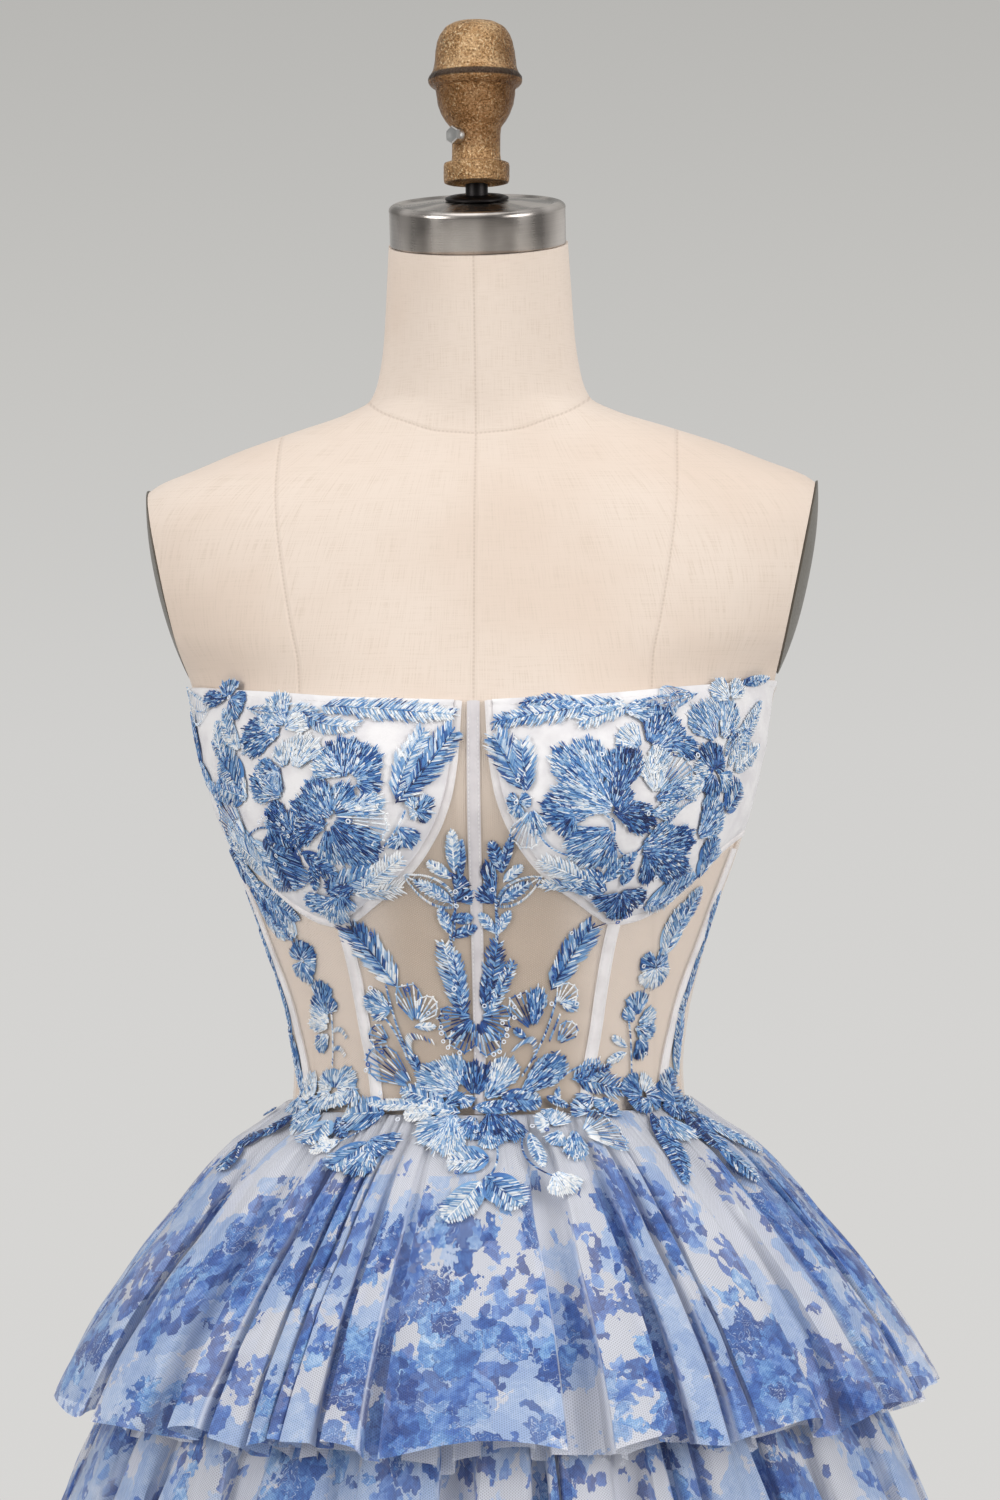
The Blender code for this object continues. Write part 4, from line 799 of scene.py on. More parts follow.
nudeNet = makeNetFinish()
cupSatin = makeSatinFinish("cupSatin", tone(240, 238, 239), tone(224, 221, 224), 0.5)
channelWhite = makeSatinFinish("channelWhite", tone(240, 236, 236), tone(224, 219, 219), 0.55, 0.0009)
# a darker copy of the channel satin for the centre bone between the cups: painted shade
channelShaded = makeSatinFinish("channelShaded", tone(216, 211, 213), tone(200, 195, 198), 0.6, 0.0009)
tapeWhite = makeSatinFinish("zipTape", tone(228, 224, 220), tone(214, 208, 204), 0.6, 0.0011)
whiteThread = makeThreadFinish("whiteThread", tone(250, 249, 248), tone(222, 219, 218))
zipMetal = makeMetal("zipMetal", tone(150, 148, 146), tone(226, 226, 228), 0.22, 0.34, 900)


# Stitches and teeth that repeat along drawn lines

def copiesGroup(name, source, inputs):
    return startGroup(name, [(source, "Geometry", None), *inputs], [("Stitches", "Geometry")], "GeometryNodeTree")


def putCopies(points, one, turn, size, finish, result):
    rows = put("GeometryNodeInstanceOnPoints", {"Points": points, "Instance": one, "Rotation": turn, "Scale": size})
    real = put("GeometryNodeRealizeInstances", {0: rows.outputs[0]}).outputs[0]
    wire(put("GeometryNodeSetMaterial", {"Geometry": real, "Material": finish}).outputs[0], result[0])


def makeRowTree(name, finish):
    sizes = (("Pitch", 0.002), ("Length", 0.0014), ("Width", 0.0005), ("Height", 0.0005))
    group, given, result = copiesGroup(name, "Lines", [(label, "Float", value) for label, value in sizes])
    line = put("GeometryNodeMeshToCurve", {0: given["Lines"]}).outputs[0]
    spots = put("GeometryNodeCurveToPoints", {"Curve": line, "Length": given["Pitch"]}, mode="LENGTH").outputs
    turn = put("FunctionNodeAlignRotationToVector", {"Vector": spots["Tangent"]}, axis="Z").outputs[0]
    bead = put("GeometryNodeMeshUVSphere", {"Segments": 5, "Rings": 3, "Radius": 0.5}).outputs[0]
    size = put("ShaderNodeCombineXYZ", {0: given["Height"], 1: given["Width"], 2: given["Length"]}).outputs[0]
    putCopies(spots["Points"], bead, turn, size, finish, result)
    return group


def growPiece(name, source, tree, values):
    # runs a tree on a source mesh and keeps the plain mesh that comes out
    holder = newObject(name + "Source", source)
    grow = holder.modifiers.new("grow", "NODES")
    grow.node_group = tree
    for item in tree.interface.items_tree:
        if item.name in values:
            grow[item.identifier] = values[item.name]
    bpy.context.view_layer.update()
    mesh = bpy.data.meshes.new_from_object(holder.evaluated_get(bpy.context.evaluated_depsgraph_get()))
    mesh.name = name
    mesh.shade_smooth()
    for label in ("turn", "size"):  # only the tree needs these
        if label in mesh.attributes:
            mesh.attributes.remove(mesh.attributes[label])
    bpy.data.objects.remove(holder)
    return newObject(name, mesh)


def lineMesh(name, lines):
    mesh = bpy.data.meshes.new(name)
    points, edges = [], []
    for line in lines:
        first = len(points)
        points.extend(np.asarray(line, float).tolist())
        edges.extend((first + index, first + index + 1) for index in range(len(line) - 1))
    mesh.from_pydata(points, edges, [])
    return mesh


rowTree = makeRowTree("stitchRow", whiteThread)
teethTree = makeRowTree("zipTeeth", zipMetal)


# The bodice: lines and panels on the body plan. Angles are in degrees on the viewer's right.

bodicePlan = {
    "uvRadius": 0.115, "wireRadius": 0.12, "formGap": 0.001, "cupWall": 0.0016, "cupDome": 0.0065, "boneWall": 0.002,
    "boneHalf": 0.0036, "wireHalf": 0.0027, "zipHalf": 0.004,
    "domeAcross": 0.5, "domeUp": 0.55, "domeLow": 0.8, "sideTop": 0.24,
    "topEdge": ((0, 0.2296), (30, 0.2318), (60, 0.238), (80, 0.2412), (100, 0.2375), (140, 0.22), (180, 0.205)),
    "cupWire": ((4.6, 0.2297), (5.2, 0.205), (6.6, 0.182), (9.2, 0.165), (13.0, 0.151), (17.5, 0.139),
                (23.0, 0.129), (29.0, 0.1205), (34.5, 0.113), (40.0, 0.1078), (46.0, 0.1095), (54.0, 0.117),
                (61.0, 0.128), (68.0, 0.1415), (75.0, 0.15), (82.0, 0.1545)),
    "princess": ((0.0, 36.4), (0.058, 39.6), (0.109, 40.0)),
    "sideBone": ((0.0, 65.5), (0.041, 70.0), (0.07, 73.0), (0.098, 77.0), (0.156, 80.0)),
    "sideSeam": ((0.0, 90.0), (0.032, 88.0), (0.075, 85.5), (0.115, 83.5), (0.245, 82.0)),
    "backBone": ((0.0, 128.0), (0.1, 130.0), (0.235, 133.0)),
}


def topHeight(angle):
    return readTable(bodicePlan["topEdge"], 1, np.abs(np.degrees(angle)))


def seamAngle(seam, height):
    return np.radians(readTable(bodicePlan[seam], 1, height))


def wireLine(count=90):
    # the wire's own angle runs fast under the cup, so the points are spread along its length
    table = np.array(bodicePlan["cupWire"])
    run = sumsOf(np.hypot(np.diff(np.radians(table[:, 0])) * bodicePlan["wireRadius"], np.diff(table[:, 1])))
    at = np.linspace(0, run[-1], count)
    return np.stack([np.radians(curveThrough(run, table[:, 0], at)), curveThrough(run, table[:, 1], at)], -1)


def wireHeight(angle):
    line = wireLine()
    return np.interp(angle, line[:, 0], line[:, 1])


def offsetLine(line, away):
    radius = flatRadius(line[:, 1])
    run = np.gradient(line[:, 0]) * radius
    rise = np.gradient(line[:, 1])
    length = np.hypot(run, rise)
    moved = line.copy()
    moved[:, 0] -= away * rise / length / radius
    moved[:, 1] += away * run / length
    return moved


def cupDome(angle, height):
    angle = np.abs(angle)
    first = radians(bodicePlan["cupWire"][0][0])
    last = seamAngle("sideSeam", bodicePlan["sideTop"])
    across = np.clip((angle - first) / (last - first), 0, 1)
    low = wireHeight(angle)
    up = np.clip((height - low) / np.maximum(topHeight(angle) - low, 1e-4), 0, 1)
    return (bodicePlan["cupDome"] * np.sin(pi * across) ** bodicePlan["domeAcross"]
            * np.sin(pi * up ** bodicePlan["domeLow"]) ** bodicePlan["domeUp"])


def clothPoints(layout, out, side=1):
    points = bodyPoint(layout[..., 0], layout[..., 1], out)
    if side < 0:
        points = points[:, ::-1] * np.array((-1.0, 1.0, 1.0))
    return points


def flatUv(layout, side=1):
    uv = np.stack([layout[..., 0] * bodicePlan["uvRadius"], layout[..., 1]], -1)
    if side < 0:
        uv = uv[:, ::-1] * np.array((-1.0, 1.0))
    return uv


def panelGrid(firstEdge, lastEdge, topLine, columns, rows, crowd=1.0):
    part = (np.linspace(0, 1, columns) ** crowd)[None, :]
    up = np.linspace(0, 1, rows)[:, None]
    heights = up * np.ones_like(part) * 0.15
    for _ in range(30):
        angle = firstEdge(heights) * (1 - part) + lastEdge(heights) * part
        heights = heights * 0.4 + 0.6 * up * topLine(angle)
    return np.stack([angle, heights], -1)


panelLook = {"out": 0.0012, "tuck": 0.0012, "sag": 0.0003, "low": 0.0004}


def makePanels():
    plan = bodicePlan

    reach = plan["boneHalf"] - panelLook["tuck"]

    def edge(seam, away):
        return lambda height: seamAngle(seam, height) + away * reach / flatRadius(height)

    def centreEdge(height):
        return reach / flatRadius(height)

    def sideEdge(height):
        return seamAngle("sideSeam", height)

    def zipEdge(height):
        return pi - (plan["zipHalf"] - 0.0008) / readTable(formSections, 3, height)

    def underCup(angle):
        return np.where(angle < radians(plan["cupWire"][0][0]), topHeight(angle), wireHeight(angle)) - panelLook["low"]

    def underTop(angle):
        return topHeight(angle) - panelLook["low"]

    panels = (
        ("frontPanel", "front_panel_", centreEdge, edge("princess", -1), underCup, 56, 40, 1.9),
        ("sideFront", "side_front_", edge("princess", 1), edge("sideBone", -1), underCup, 30, 32, 1.0),
        ("sidePanel", "side_panel_", edge("sideBone", 1), sideEdge, underCup, 16, 32, 1.0),
        ("sideBack", "side_back_", sideEdge, edge("backBone", -1), underTop, 34, 40, 1.0),
        ("centreBack", "centre_back_", edge("backBone", 1), zipEdge, underTop, 40, 40, 1.0),
    )
    for name, node, first, last, top, columns, rows, crowd in panels:
        layout = panelGrid(first, last, top, columns, rows, crowd)
        angle, height = layout[..., 0], layout[..., 1]
        pull = panelLook["sag"] * (np.sin(angle * 23 + height * 60) * 0.5 + 0.5) * np.sin(pi * height / 0.2) ** 2
        for side, mark in bothSides:
            out = panelLook["out"] + pull
            piece = sheetPiece(name + mark, clothPoints(layout, out, side), nudeNet, flatUv(layout, side))
            finishPiece(piece, "nude_net", node + mark.lower())


cupLook = {"columns": 72, "rows": 40, "binding": 0.003, "bindingRise": 0.0007, "foldHighlight": 0.00045}


def cupLayout():
    plan = bodicePlan
    wire = wireLine(cupLook["columns"])
    lower = offsetLine(wire, plan["wireHalf"] * 0.6)
    lower[0] = (lower[0] + lower[1]) / 2
    lower[-1, 0] = seamAngle("sideSeam", lower[-1, 1])
    upper = lower.copy()
    spread = (wire[:, 0] - wire[0, 0]) / (wire[-1, 0] - wire[0, 0])
    upper[:, 0] = lower[0, 0] + spread * (seamAngle("sideSeam", plan["sideTop"]) - lower[0, 0])
    upper[:, 1] = topHeight(upper[:, 0])
    part = np.linspace(0, 1, cupLook["rows"]) ** 0.9
    return lower[None] * (1 - part[:, None, None]) + upper[None] * part[:, None, None]


def makeCups():
    layout = cupLayout()
    angle, height = layout[..., 0], layout[..., 1]
    rise = cupDome(angle, height)
    rise[0] = 0
    below = topHeight(angle) - height
    binding = cupLook["bindingRise"] * smoothStep(cupLook["binding"], cupLook["binding"] * 0.6, below)
    drape = cupLook["foldHighlight"] * (np.sin(angle * 31 + height * 210) * np.sin(angle * 11 - height * 90 + 1.0))
    drape = drape * np.sin(pi * np.linspace(0, 1, cupLook["rows"]))[:, None] ** 0.5
    for side, mark in bothSides:
        low = bodicePlan["formGap"] + rise
        high = low + bodicePlan["cupWall"] + binding + drape * side
        piece = shellPiece("cup" + mark, clothPoints(layout, low, side), clothPoints(layout, high, side), cupSatin,
                           flatUv(layout, side))
        finishPiece(piece, "white_cup", "cup_" + mark.lower())


channelLook = {"columns": 9, "stitchAt": 0.74, "pitch": 0.0024, "length": 0.0019, "width": 0.00042}


def channelProfile(across, wall):
    # a soft tube of bone between two rows of stitches
    at, reach = channelLook["stitchAt"], np.abs(across)
    dome = 0.55 + 0.45 * np.sqrt(np.clip(1 - (across / at) ** 2, 0, 1))
    return wall * np.where(reach < at, dome, 0.62 - 0.5 * (reach - at))


def makeChannel(name, middle, half, nodes, finish=channelWhite):
    plan = bodicePlan
    across = np.linspace(-1, 1, channelLook["columns"])
    lines = [offsetLine(middle, -half * part) for part in across]
    layout = np.stack(lines, 1)
    rise = np.broadcast_to(channelProfile(across, plan["boneWall"]), layout.shape[:2])
    low = np.full(layout.shape[:2], plan["formGap"])
    run = sumsOf(np.hypot(np.diff(middle[:, 0]) * plan["uvRadius"], np.diff(middle[:, 1])))
    uv = np.stack([np.broadcast_to(across * half, layout.shape[:2]),
                   np.broadcast_to(run[:, None], layout.shape[:2])], -1)
    inner = bodyPoint(layout[..., 0], layout[..., 1], low)
    outer = bodyPoint(layout[..., 0], layout[..., 1], low + rise)
    piece = shellPiece(name, inner, outer, finish, uv)
    work = bmesh.new()
    work.from_mesh(piece.data)
    bmesh.ops.recalc_face_normals(work, faces=work.faces)
    work.to_mesh(piece.data)
    work.free()
    finishPiece(piece, "white_channel", *nodes)
    rows = []
    for part in (-channelLook["stitchAt"], channelLook["stitchAt"]):
        line = offsetLine(middle, -half * part)[2:-2]
        rows.append(bodyPoint(line[:, 0], line[:, 1], plan["formGap"] + plan["boneWall"] * 0.66))
    return rows


def makeChannels():
    plan = bodicePlan
    rows = []

    def upright(seam, top, count=40):
        heights = np.linspace(0, top, count)
        return np.stack([seamAngle(seam, heights), heights], -1)

    def mirrored(line):
        return line * np.array((-1.0, 1.0))

    heights = np.linspace(0, float(topHeight(0.0)), 48)
    # the centre bone takes the darker copy of the satin, a painted shade between the cups
    rows += makeChannel("centreBone", np.stack([np.zeros(48), heights], -1), plan["boneHalf"], ["bone_centre"],
                        channelShaded)
    wire = wireLine(110)
    wire[-1, 0] = seamAngle("sideSeam", wire[-1, 1])
    backTop = float(topHeight(seamAngle("backBone", 0.22)))
    lines = (("wireChannel", wire, plan["wireHalf"], "wire_channel_"),
             ("princessBone", upright("princess", 0.1062), plan["boneHalf"], "bone_princess_"),
             ("sideBone", upright("sideBone", 0.1455), plan["boneHalf"], "bone_side_"),
             ("backBone", upright("backBone", backTop), plan["boneHalf"], "bone_back_"))
    for name, line, half, node in lines:
        for side, mark in bothSides:
            middle = mirrored(line) if side < 0 else line
            rows += makeChannel(name + mark, middle, half, [node + mark.lower()])
    edge = []
    for start, end in ((4.8, 81.0), (83.0, 178.2)):  # the top binding is stitched down
        for side in (-1, 1):
            angle = np.radians(np.linspace(start, end, 90)) * side
            height = topHeight(angle) - 0.0034
            out = np.where(np.abs(angle) < radians(82), plan["cupWall"] + cupDome(angle, height), 0.001)
            edge.append(bodyPoint(angle, height, plan["formGap"] + out))
    sizes = {"Pitch": channelLook["pitch"], "Length": channelLook["length"], "Width": channelLook["width"],
             "Height": channelLook["width"]}
    piece = growPiece("channelStitches", lineMesh("channelLines", rows + edge), rowTree, sizes)
    finishPiece(piece, "white_channel")


zipLook = {"toothPitch": 0.0016, "toothLong": 0.001, "toothWide": 0.0034, "toothHigh": 0.001}


def makeZip():
    plan = bodicePlan
    heights = np.linspace(0, float(topHeight(pi)) - 0.001, 60)
    across = np.linspace(-1, 1, 9)
    reach = plan["zipHalf"] / readTable(formSections, 3, heights)
    layout = np.stack([np.stack([pi + part * reach, heights], -1) for part in across], 1)
    lap = 0.0004 * np.exp(-(across / 0.18) ** 2)
    inner = bodyPoint(layout[..., 0], layout[..., 1], np.full(layout.shape[:2], plan["formGap"]))
    outer = bodyPoint(layout[..., 0], layout[..., 1], np.broadcast_to(plan["formGap"] + 0.0008 + lap, layout.shape[:2]))
    uv = np.stack([np.broadcast_to(across * plan["zipHalf"], layout.shape[:2]), layout[..., 1]], -1)
    tape = shellPiece("zipTape", inner, outer, tapeWhite, uv)
    finishPiece(tape, "zip_tape", "zip_tape")
    line = bodyPoint(np.full(50, pi), np.linspace(0.004, 0.19, 50), plan["formGap"] + 0.0011)
    teeth = growPiece("zipTeeth", lineMesh("zipLine", [line]), teethTree,
                      {"Pitch": zipLook["toothPitch"], "Length": zipLook["toothLong"],
                       "Width": zipLook["toothWide"], "Height": zipLook["toothHigh"]})
    finishPiece(teeth, "zip_metal")
    for node in ("zip_slider", "zip_pull"):
        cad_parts[node].data.materials.clear()
        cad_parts[node].data.materials.append(zipMetal)


makeChannels()
makePanels()
makeCups()
makeZip()
print("stage: bodice")


# Finishes of the skirt

def makePrintFinish(name, seed, full, top):
    # sheer tulle with loose blue flowers, denser below the waist
    finish, shader = newFinish(name, tone(218, 221, 234), 0.75, Sheen_Weight=0.6, Sheen_Roughness=0.35)
    uv = uvOf()
    down = attributeOf("clothDrop")
    moved = stretched(uv, (1, 1, 1), (seed, seed * 0.7, 0))
    density = step(down, top, top + 0.07, 0.26, full)
    pale = useGroup(paintGroup, {"Vector": stretched(moved, (1, 1, 1), (3.1, 1.7, 0)), "Blots": 40.0,
                                       "Clusters": 10.0, "Density": calc("ADD", density, 0.08)})
    paint = useGroup(paintGroup, {"Vector": moved, "Density": density})
    small = useGroup(paintGroup, {"Vector": stretched(moved, (1, 1, 1), (7.7, 4.2, 0)), "Blots": 120.0,
                                        "Clusters": 14.0, "Density": calc("SUBTRACT", density, 0.02), "Bend": 0.014})
    colour = blendColour(times(pale["Mask"], 0.85), tone(232, 234, 243), ramp(pale["Tone"], [
        (0.0, 142, 172, 220), (0.45, 172, 196, 232), (0.8, 200, 214, 238), (1.0, 214, 224, 242)]))
    inks = ramp(paint["Tone"], [
        (0.0, 34, 66, 136), (0.22, 48, 92, 166), (0.45, 84, 132, 198), (0.68, 130, 172, 220),
        (0.88, 174, 202, 234), (1.0, 202, 218, 240)])
    inks = blendColour(times(paint["Violet"], 0.4), inks, tone(122, 142, 188))
    inks = blendColour(times(paint["Line"], 0.6), inks, tone(34, 62, 132))
    inks = blendColour(times(paint["Curl"], 0.55), inks, tone(206, 220, 240))
    colour = blendColour(times(paint["Mask"], 0.94), colour, inks)
    tiny = ramp(small["Tone"], [(0.0, 32, 60, 132), (0.4, 66, 108, 186), (0.8, 128, 164, 218)])
    colour = blendColour(times(small["Mask"], 0.85), colour, tiny)
    ink = calc("MAXIMUM", paint["Mask"], calc("MAXIMUM", times(pale["Mask"], 0.5), small["Mask"]))
    gather = noise(stretched(uv, (170, 9, 1)), 1.0, 2.0)
    # painted shade: darker streaks in the hollows of the gathers near the waist
    gatherShade = times(step(gather, 0.52, 0.36), step(down, 0.085, 0.0))
    colour = blendColour(times(gatherShade, 0.16), colour, tone(160, 166, 190))
    # painted highlight: the turning edges of the folds are lighter and more opaque
    foldHighlight = attributeOf("foldEdge")
    colour = blendColour(times(foldHighlight, 0.7), colour, tone(244, 246, 251))
    wire(colour, shader["Base Color"])
    mesh = useGroup(netGroup, {"Vector": uv, "Cell": 0.0013})["Thread"]
    cover = timesPlus(mesh, 0.24, 0.46)
    cover = timesPlus(ink, 0.26, cover)
    cover = timesPlus(foldHighlight, 0.4, cover, clamp=True)
    wire(cover, shader["Alpha"])
    pleats = bump(times(gather, step(down, 0.1, 0.0, 0.12, 1.0)), 0.7, 0.003)
    wire(bump(mesh, 0.25, 0.0002, pleats), shader["Normal"])
    return finish


def makeSheerFinish():
    finish, shader = newFinish("sheerTulle", tone(224, 227, 238), 0.8, Sheen_Weight=0.5, Sheen_Roughness=0.4)
    mesh = useGroup(netGroup, {"Vector": uvOf(), "Cell": 0.0013})["Thread"]
    cloud = noise(placeOf(), 22.0, 2.0)
    wire(blendColour(cloud, tone(228, 231, 241), tone(238, 240, 246)), shader["Base Color"])
    cover = timesPlus(mesh, 0.22, 0.5)
    # painted highlight: the turning edges of the folds are more opaque, so they show as lighter lines
    wire(timesPlus(attributeOf("foldEdge"), 0.35, cover, clamp=True), shader["Alpha"])
    wire(bump(mesh, 0.25, 0.0002), shader["Normal"])
    return finish


tulleTop = makePrintFinish("printedTulleTop", 0.35, 0.48, 0.006)
tulleMiddle = makePrintFinish("printedTulleMiddle", 2.15, 0.455, -0.3)
tulleLow = makePrintFinish("printedTulleLow", 4.45, 0.465, -0.3)
sheerTulle = makeSheerFinish()
lining = makeSatinFinish("skirtLining", tone(236, 237, 243), tone(222, 225, 236), 0.6, 0.0008)
print("stage: finishes of the skirt")


# The skirt: each tier is one gathered ring of tulle, with a plain sheer ring inside it

skirtTiers = {  # height, half width, depth in front, depth behind, squareness, reach of the folds
    "tier_1": {
        "folds": 38, "drift": 0.0,
        "shape": ((-0.165, 0.245, 0.222, 0.228, 2.0, 0.01), (-0.139, 0.234, 0.209, 0.215, 2.0, 0.0092),
                  (-0.104, 0.213, 0.187, 0.193, 2.0, 0.008), (-0.07, 0.1875, 0.159, 0.166, 2.02, 0.0066),
                  (-0.046, 0.1685, 0.139, 0.146, 2.05, 0.0054), (-0.023, 0.148, 0.118, 0.124, 2.1, 0.0038),
                  (-0.012, 0.132, 0.105, 0.109, 2.13, 0.0026), (-0.0004, 0.118, 0.094, 0.093, 2.15, 0.0012)),
    },
    "tier_2": {
        "folds": 38, "drift": 1.3,
        "shape": ((-0.308, 0.265, 0.245, 0.25, 2.0, 0.0105), (-0.232, 0.2425, 0.221, 0.227, 2.0, 0.009),
                  (-0.186, 0.2245, 0.203, 0.209, 2.0, 0.007), (-0.14, 0.2043, 0.1813, 0.1883, 2.0, 0.0016)),
    },
    "tier_3": {
        "folds": 40, "drift": 2.9,
        "shape": ((-0.45, 0.286, 0.266, 0.271, 2.0, 0.011), (-0.37, 0.262, 0.241, 0.246, 2.0, 0.009),
                  (-0.33, 0.247, 0.2255, 0.2305, 2.0, 0.007), (-0.285, 0.2273, 0.2058, 0.2108, 2.0, 0.0016)),
    },
}
underskirtShape = (
    (-0.43, 0.252, 0.231, 0.236, 2.0), (-0.36, 0.2395, 0.218, 0.223, 2.0), (-0.285, 0.2235, 0.202, 0.207, 2.0),
    (-0.2, 0.212, 0.1895, 0.196, 2.0), (-0.14, 0.2005, 0.1775, 0.1845, 2.0), (-0.07, 0.17, 0.142, 0.149, 2.02),
    (-0.046, 0.152, 0.124, 0.131, 2.05), (-0.023, 0.132, 0.106, 0.111, 2.1), (-0.01, 0.121, 0.096, 0.0985, 2.14),
    (-0.0004, 0.1145, 0.0905, 0.0895, 2.15),
)
foldPlan = {
    "crowding": ((0.055, 3, 1.0, 0.0), (0.035, 7, 2.0, 0.0), (0.02, 11, 0.0, 1.0)),
    "depths": ((0.22, 5, 1.0, 0.0), (0.14, 13, 2.2, 0.0)),
    "names": ("topTier", "middleTier", "lowTier"),
    "sheer": {"inset": 1.95, "depth": 0.35, "drop": 0.008, "shift": 0.09},
    "columns": 22, "rows": 40, "lowRows": 25, "overlapLow": 0.5, "overlapHigh": 1.25, "lean": 0.55,
    "square": (1.2, 2.6), "hemStep": 0.0034, "hemDrift": 0.003, "seed": 11,
    "pinch": 0.0013, "crumple": 0.0009, "flare": 0.82,
    "narrow": (0.35, 0.8), "wide": (1.3, 2.5), "wideShare": 0.42, "spread": 0.2, "frontPanel": 3.0,
}


def waveSum(table, turns, drift):
    total = np.zeros_like(turns)
    for reach, times, follow, start in table:
        total = total + reach * np.sin(times * turns + follow * drift + start)
    return total


def foldedGrid(tier, rows, columns, inset=0.0, depth=1.0, drop=0.0, shift=0.0, seed=0):
    shape = tier["shape"]
    low, high = shape[0][0], shape[-1][0]
    folds = tier["folds"]
    rng = np.random.default_rng(foldPlan["seed"] + seed)
    phase = np.arange(folds * columns) / columns * 2 * pi
    whole = (phase // (2 * pi)).astype(int)
    overlap = rng.uniform(foldPlan["overlapLow"], foldPlan["overlapHigh"], folds)[whole]
    lean = rng.uniform(-foldPlan["lean"], foldPlan["lean"], folds)[whole]
    square = rng.uniform(*foldPlan["square"], folds)[whole]
    tilt = rng.uniform(-1, 1, folds)[whole]
    wide = rng.random(folds) < foldPlan["wideShare"]
    widths = np.where(wide, rng.uniform(*foldPlan["wide"], folds), rng.uniform(*foldPlan["narrow"], folds))
    if high > -0.01 and inset == 0:
        widths[0] = foldPlan["frontPanel"]  # the broad flat panel at the middle of the front
    widths *= 2 * pi / widths.sum()
    starts = sumsOf(widths[:-1]) - widths[0] * (0.25 + foldPlan["spread"] / 2)
    swell = foldPlan["spread"] * (1 - np.cos(phase)) / 2  # outer faces are broader than the hollows
    turns = starts[whole] + widths[whole] * (np.mod(phase, 2 * pi) / (2 * pi) + swell)
    middle = turns + waveSum(foldPlan["crowding"], turns, tier["drift"]) + shift
    deep = 1 + waveSum(foldPlan["depths"], turns, tier["drift"])
    level = np.tanh(square * np.sin(phase)) / np.tanh(square)
    part = np.linspace(0, 1, rows)[:, None]
    height = low + (high - low) * (1 - (1 - part) ** 1.15)
    down = (high - height) / (high - low)
    opened = smoothStep(0.0, 0.55, down) * 0.85 + 0.15 * down
    turn = (-overlap * np.sin(2 * phase) + lean * np.sin(phase)) * opened * widths[whole] / (2 * pi)
    angle = middle + turn
    flat = np.broadcast_to(height, angle.shape)
    sizes = [readTable(shape, index, flat) for index in range(1, 6)]
    face = level + 0.1 * np.sin(2 * phase + 3 * tilt) * np.sin(5 * down + 6 * tilt)
    face = np.clip(face, -1, 1)
    radius = ovalRadius(angle, *sizes[:4]) + sizes[4] * depth * face * deep - inset * sizes[4]
    pinch = np.sin(3 * phase + 9 * tilt) * np.exp(-down * 6) * np.exp(-(0.02 / np.maximum(down, 1e-3)) ** 2)
    crumple = (0.5 + 0.5 * np.sin(2.0 * phase + 24 * down + 5 * tilt)) * np.sin(pi * down)
    radius = radius + foldPlan["pinch"] * pinch - foldPlan["crumple"] * crumple
    fade = smoothStep(0.75, 1.0, down)
    hang = foldPlan["hemStep"] * level + foldPlan["hemDrift"] * (np.sin(17 * turns + 1) + 0.7 * np.sin(29 * turns + 2))
    z = formShape["waist"] + height + (hang - drop) * fade
    grid = ringPoints(radius, angle, np.broadcast_to(z, angle.shape))
    hem = np.concatenate([grid[0], grid[:1, 0]])
    across = sumsOf(np.linalg.norm(np.diff(hem, axis=0), axis=1))
    spans = np.linalg.norm(np.diff(grid[::-1], axis=0), axis=-1).mean(axis=1)
    along = sumsOf(spans)[::-1]
    uv = np.stack([np.broadcast_to(across[:-1], angle.shape), np.broadcast_to(-along[:, None], angle.shape)], -1)
    # the turning edges of the folds; the tulle finishes paint these as lighter lines, a painted highlight
    edge = np.exp(-(np.gradient(turn + turns, axis=1) / np.gradient(turns) / 0.16) ** 2) * opened * (level > -0.2)
    values = {"foldEdge": edge, "clothDrop": np.broadcast_to(along[:, None], angle.shape)}
    if high > -0.01:  # the top edge is turned in to the waist seam
        sewn = bodyPoint(angle[-1], np.full(len(phase), -0.0012), 0.003)
        grid = np.concatenate([grid, sewn[None]])
        uv = np.concatenate([uv, uv[-1:] + (0, 0.004)])
        values = {label: np.concatenate([value, value[-1:]]) for label, value in values.items()}
    return grid, uv, values, float(across[-1]), float(along[0])


def sheetRing(name, grid, uv, values, width, finish, slotName, *nodes):
    piece = sheetPiece(name, grid, finish, uv, closed=True, values=values, wrap=width)
    finishPiece(piece, slotName, *nodes)
    return piece


def tellArea(piece, width, length):
    area = sum(face.area for face in piece.data.polygons)
    print("ring", piece.name, *(round(value, 3) for value in (width, length, area, area / width / length)))


def makeTier(index, node, tier):
    rows = foldPlan["rows"] if index == 0 else foldPlan["lowRows"]
    name, finish = foldPlan["names"][index], (tulleTop, tulleMiddle, tulleLow)[index]
    rings = (
        (name, finish, [node], rows, foldPlan["columns"], {"seed": index}),
        (name + "Sheer", sheerTulle, [], rows - 12, 12, {**foldPlan["sheer"], "seed": 20 + index}),
    )
    for label, look, nodes, high, columns, settings in rings:
        grid, uv, values, width, length = foldedGrid(tier, high, columns, **settings)
        piece = sheetRing(label, grid, uv, values, width, look, "printed_tulle", *nodes)
        tellArea(piece, width, length)


liningLook = {"rows": 40, "columns": 160, "low": -0.43, "high": -0.0004, "length": 0.44, "inset": 0.0003,
              "wave": 0.0008}


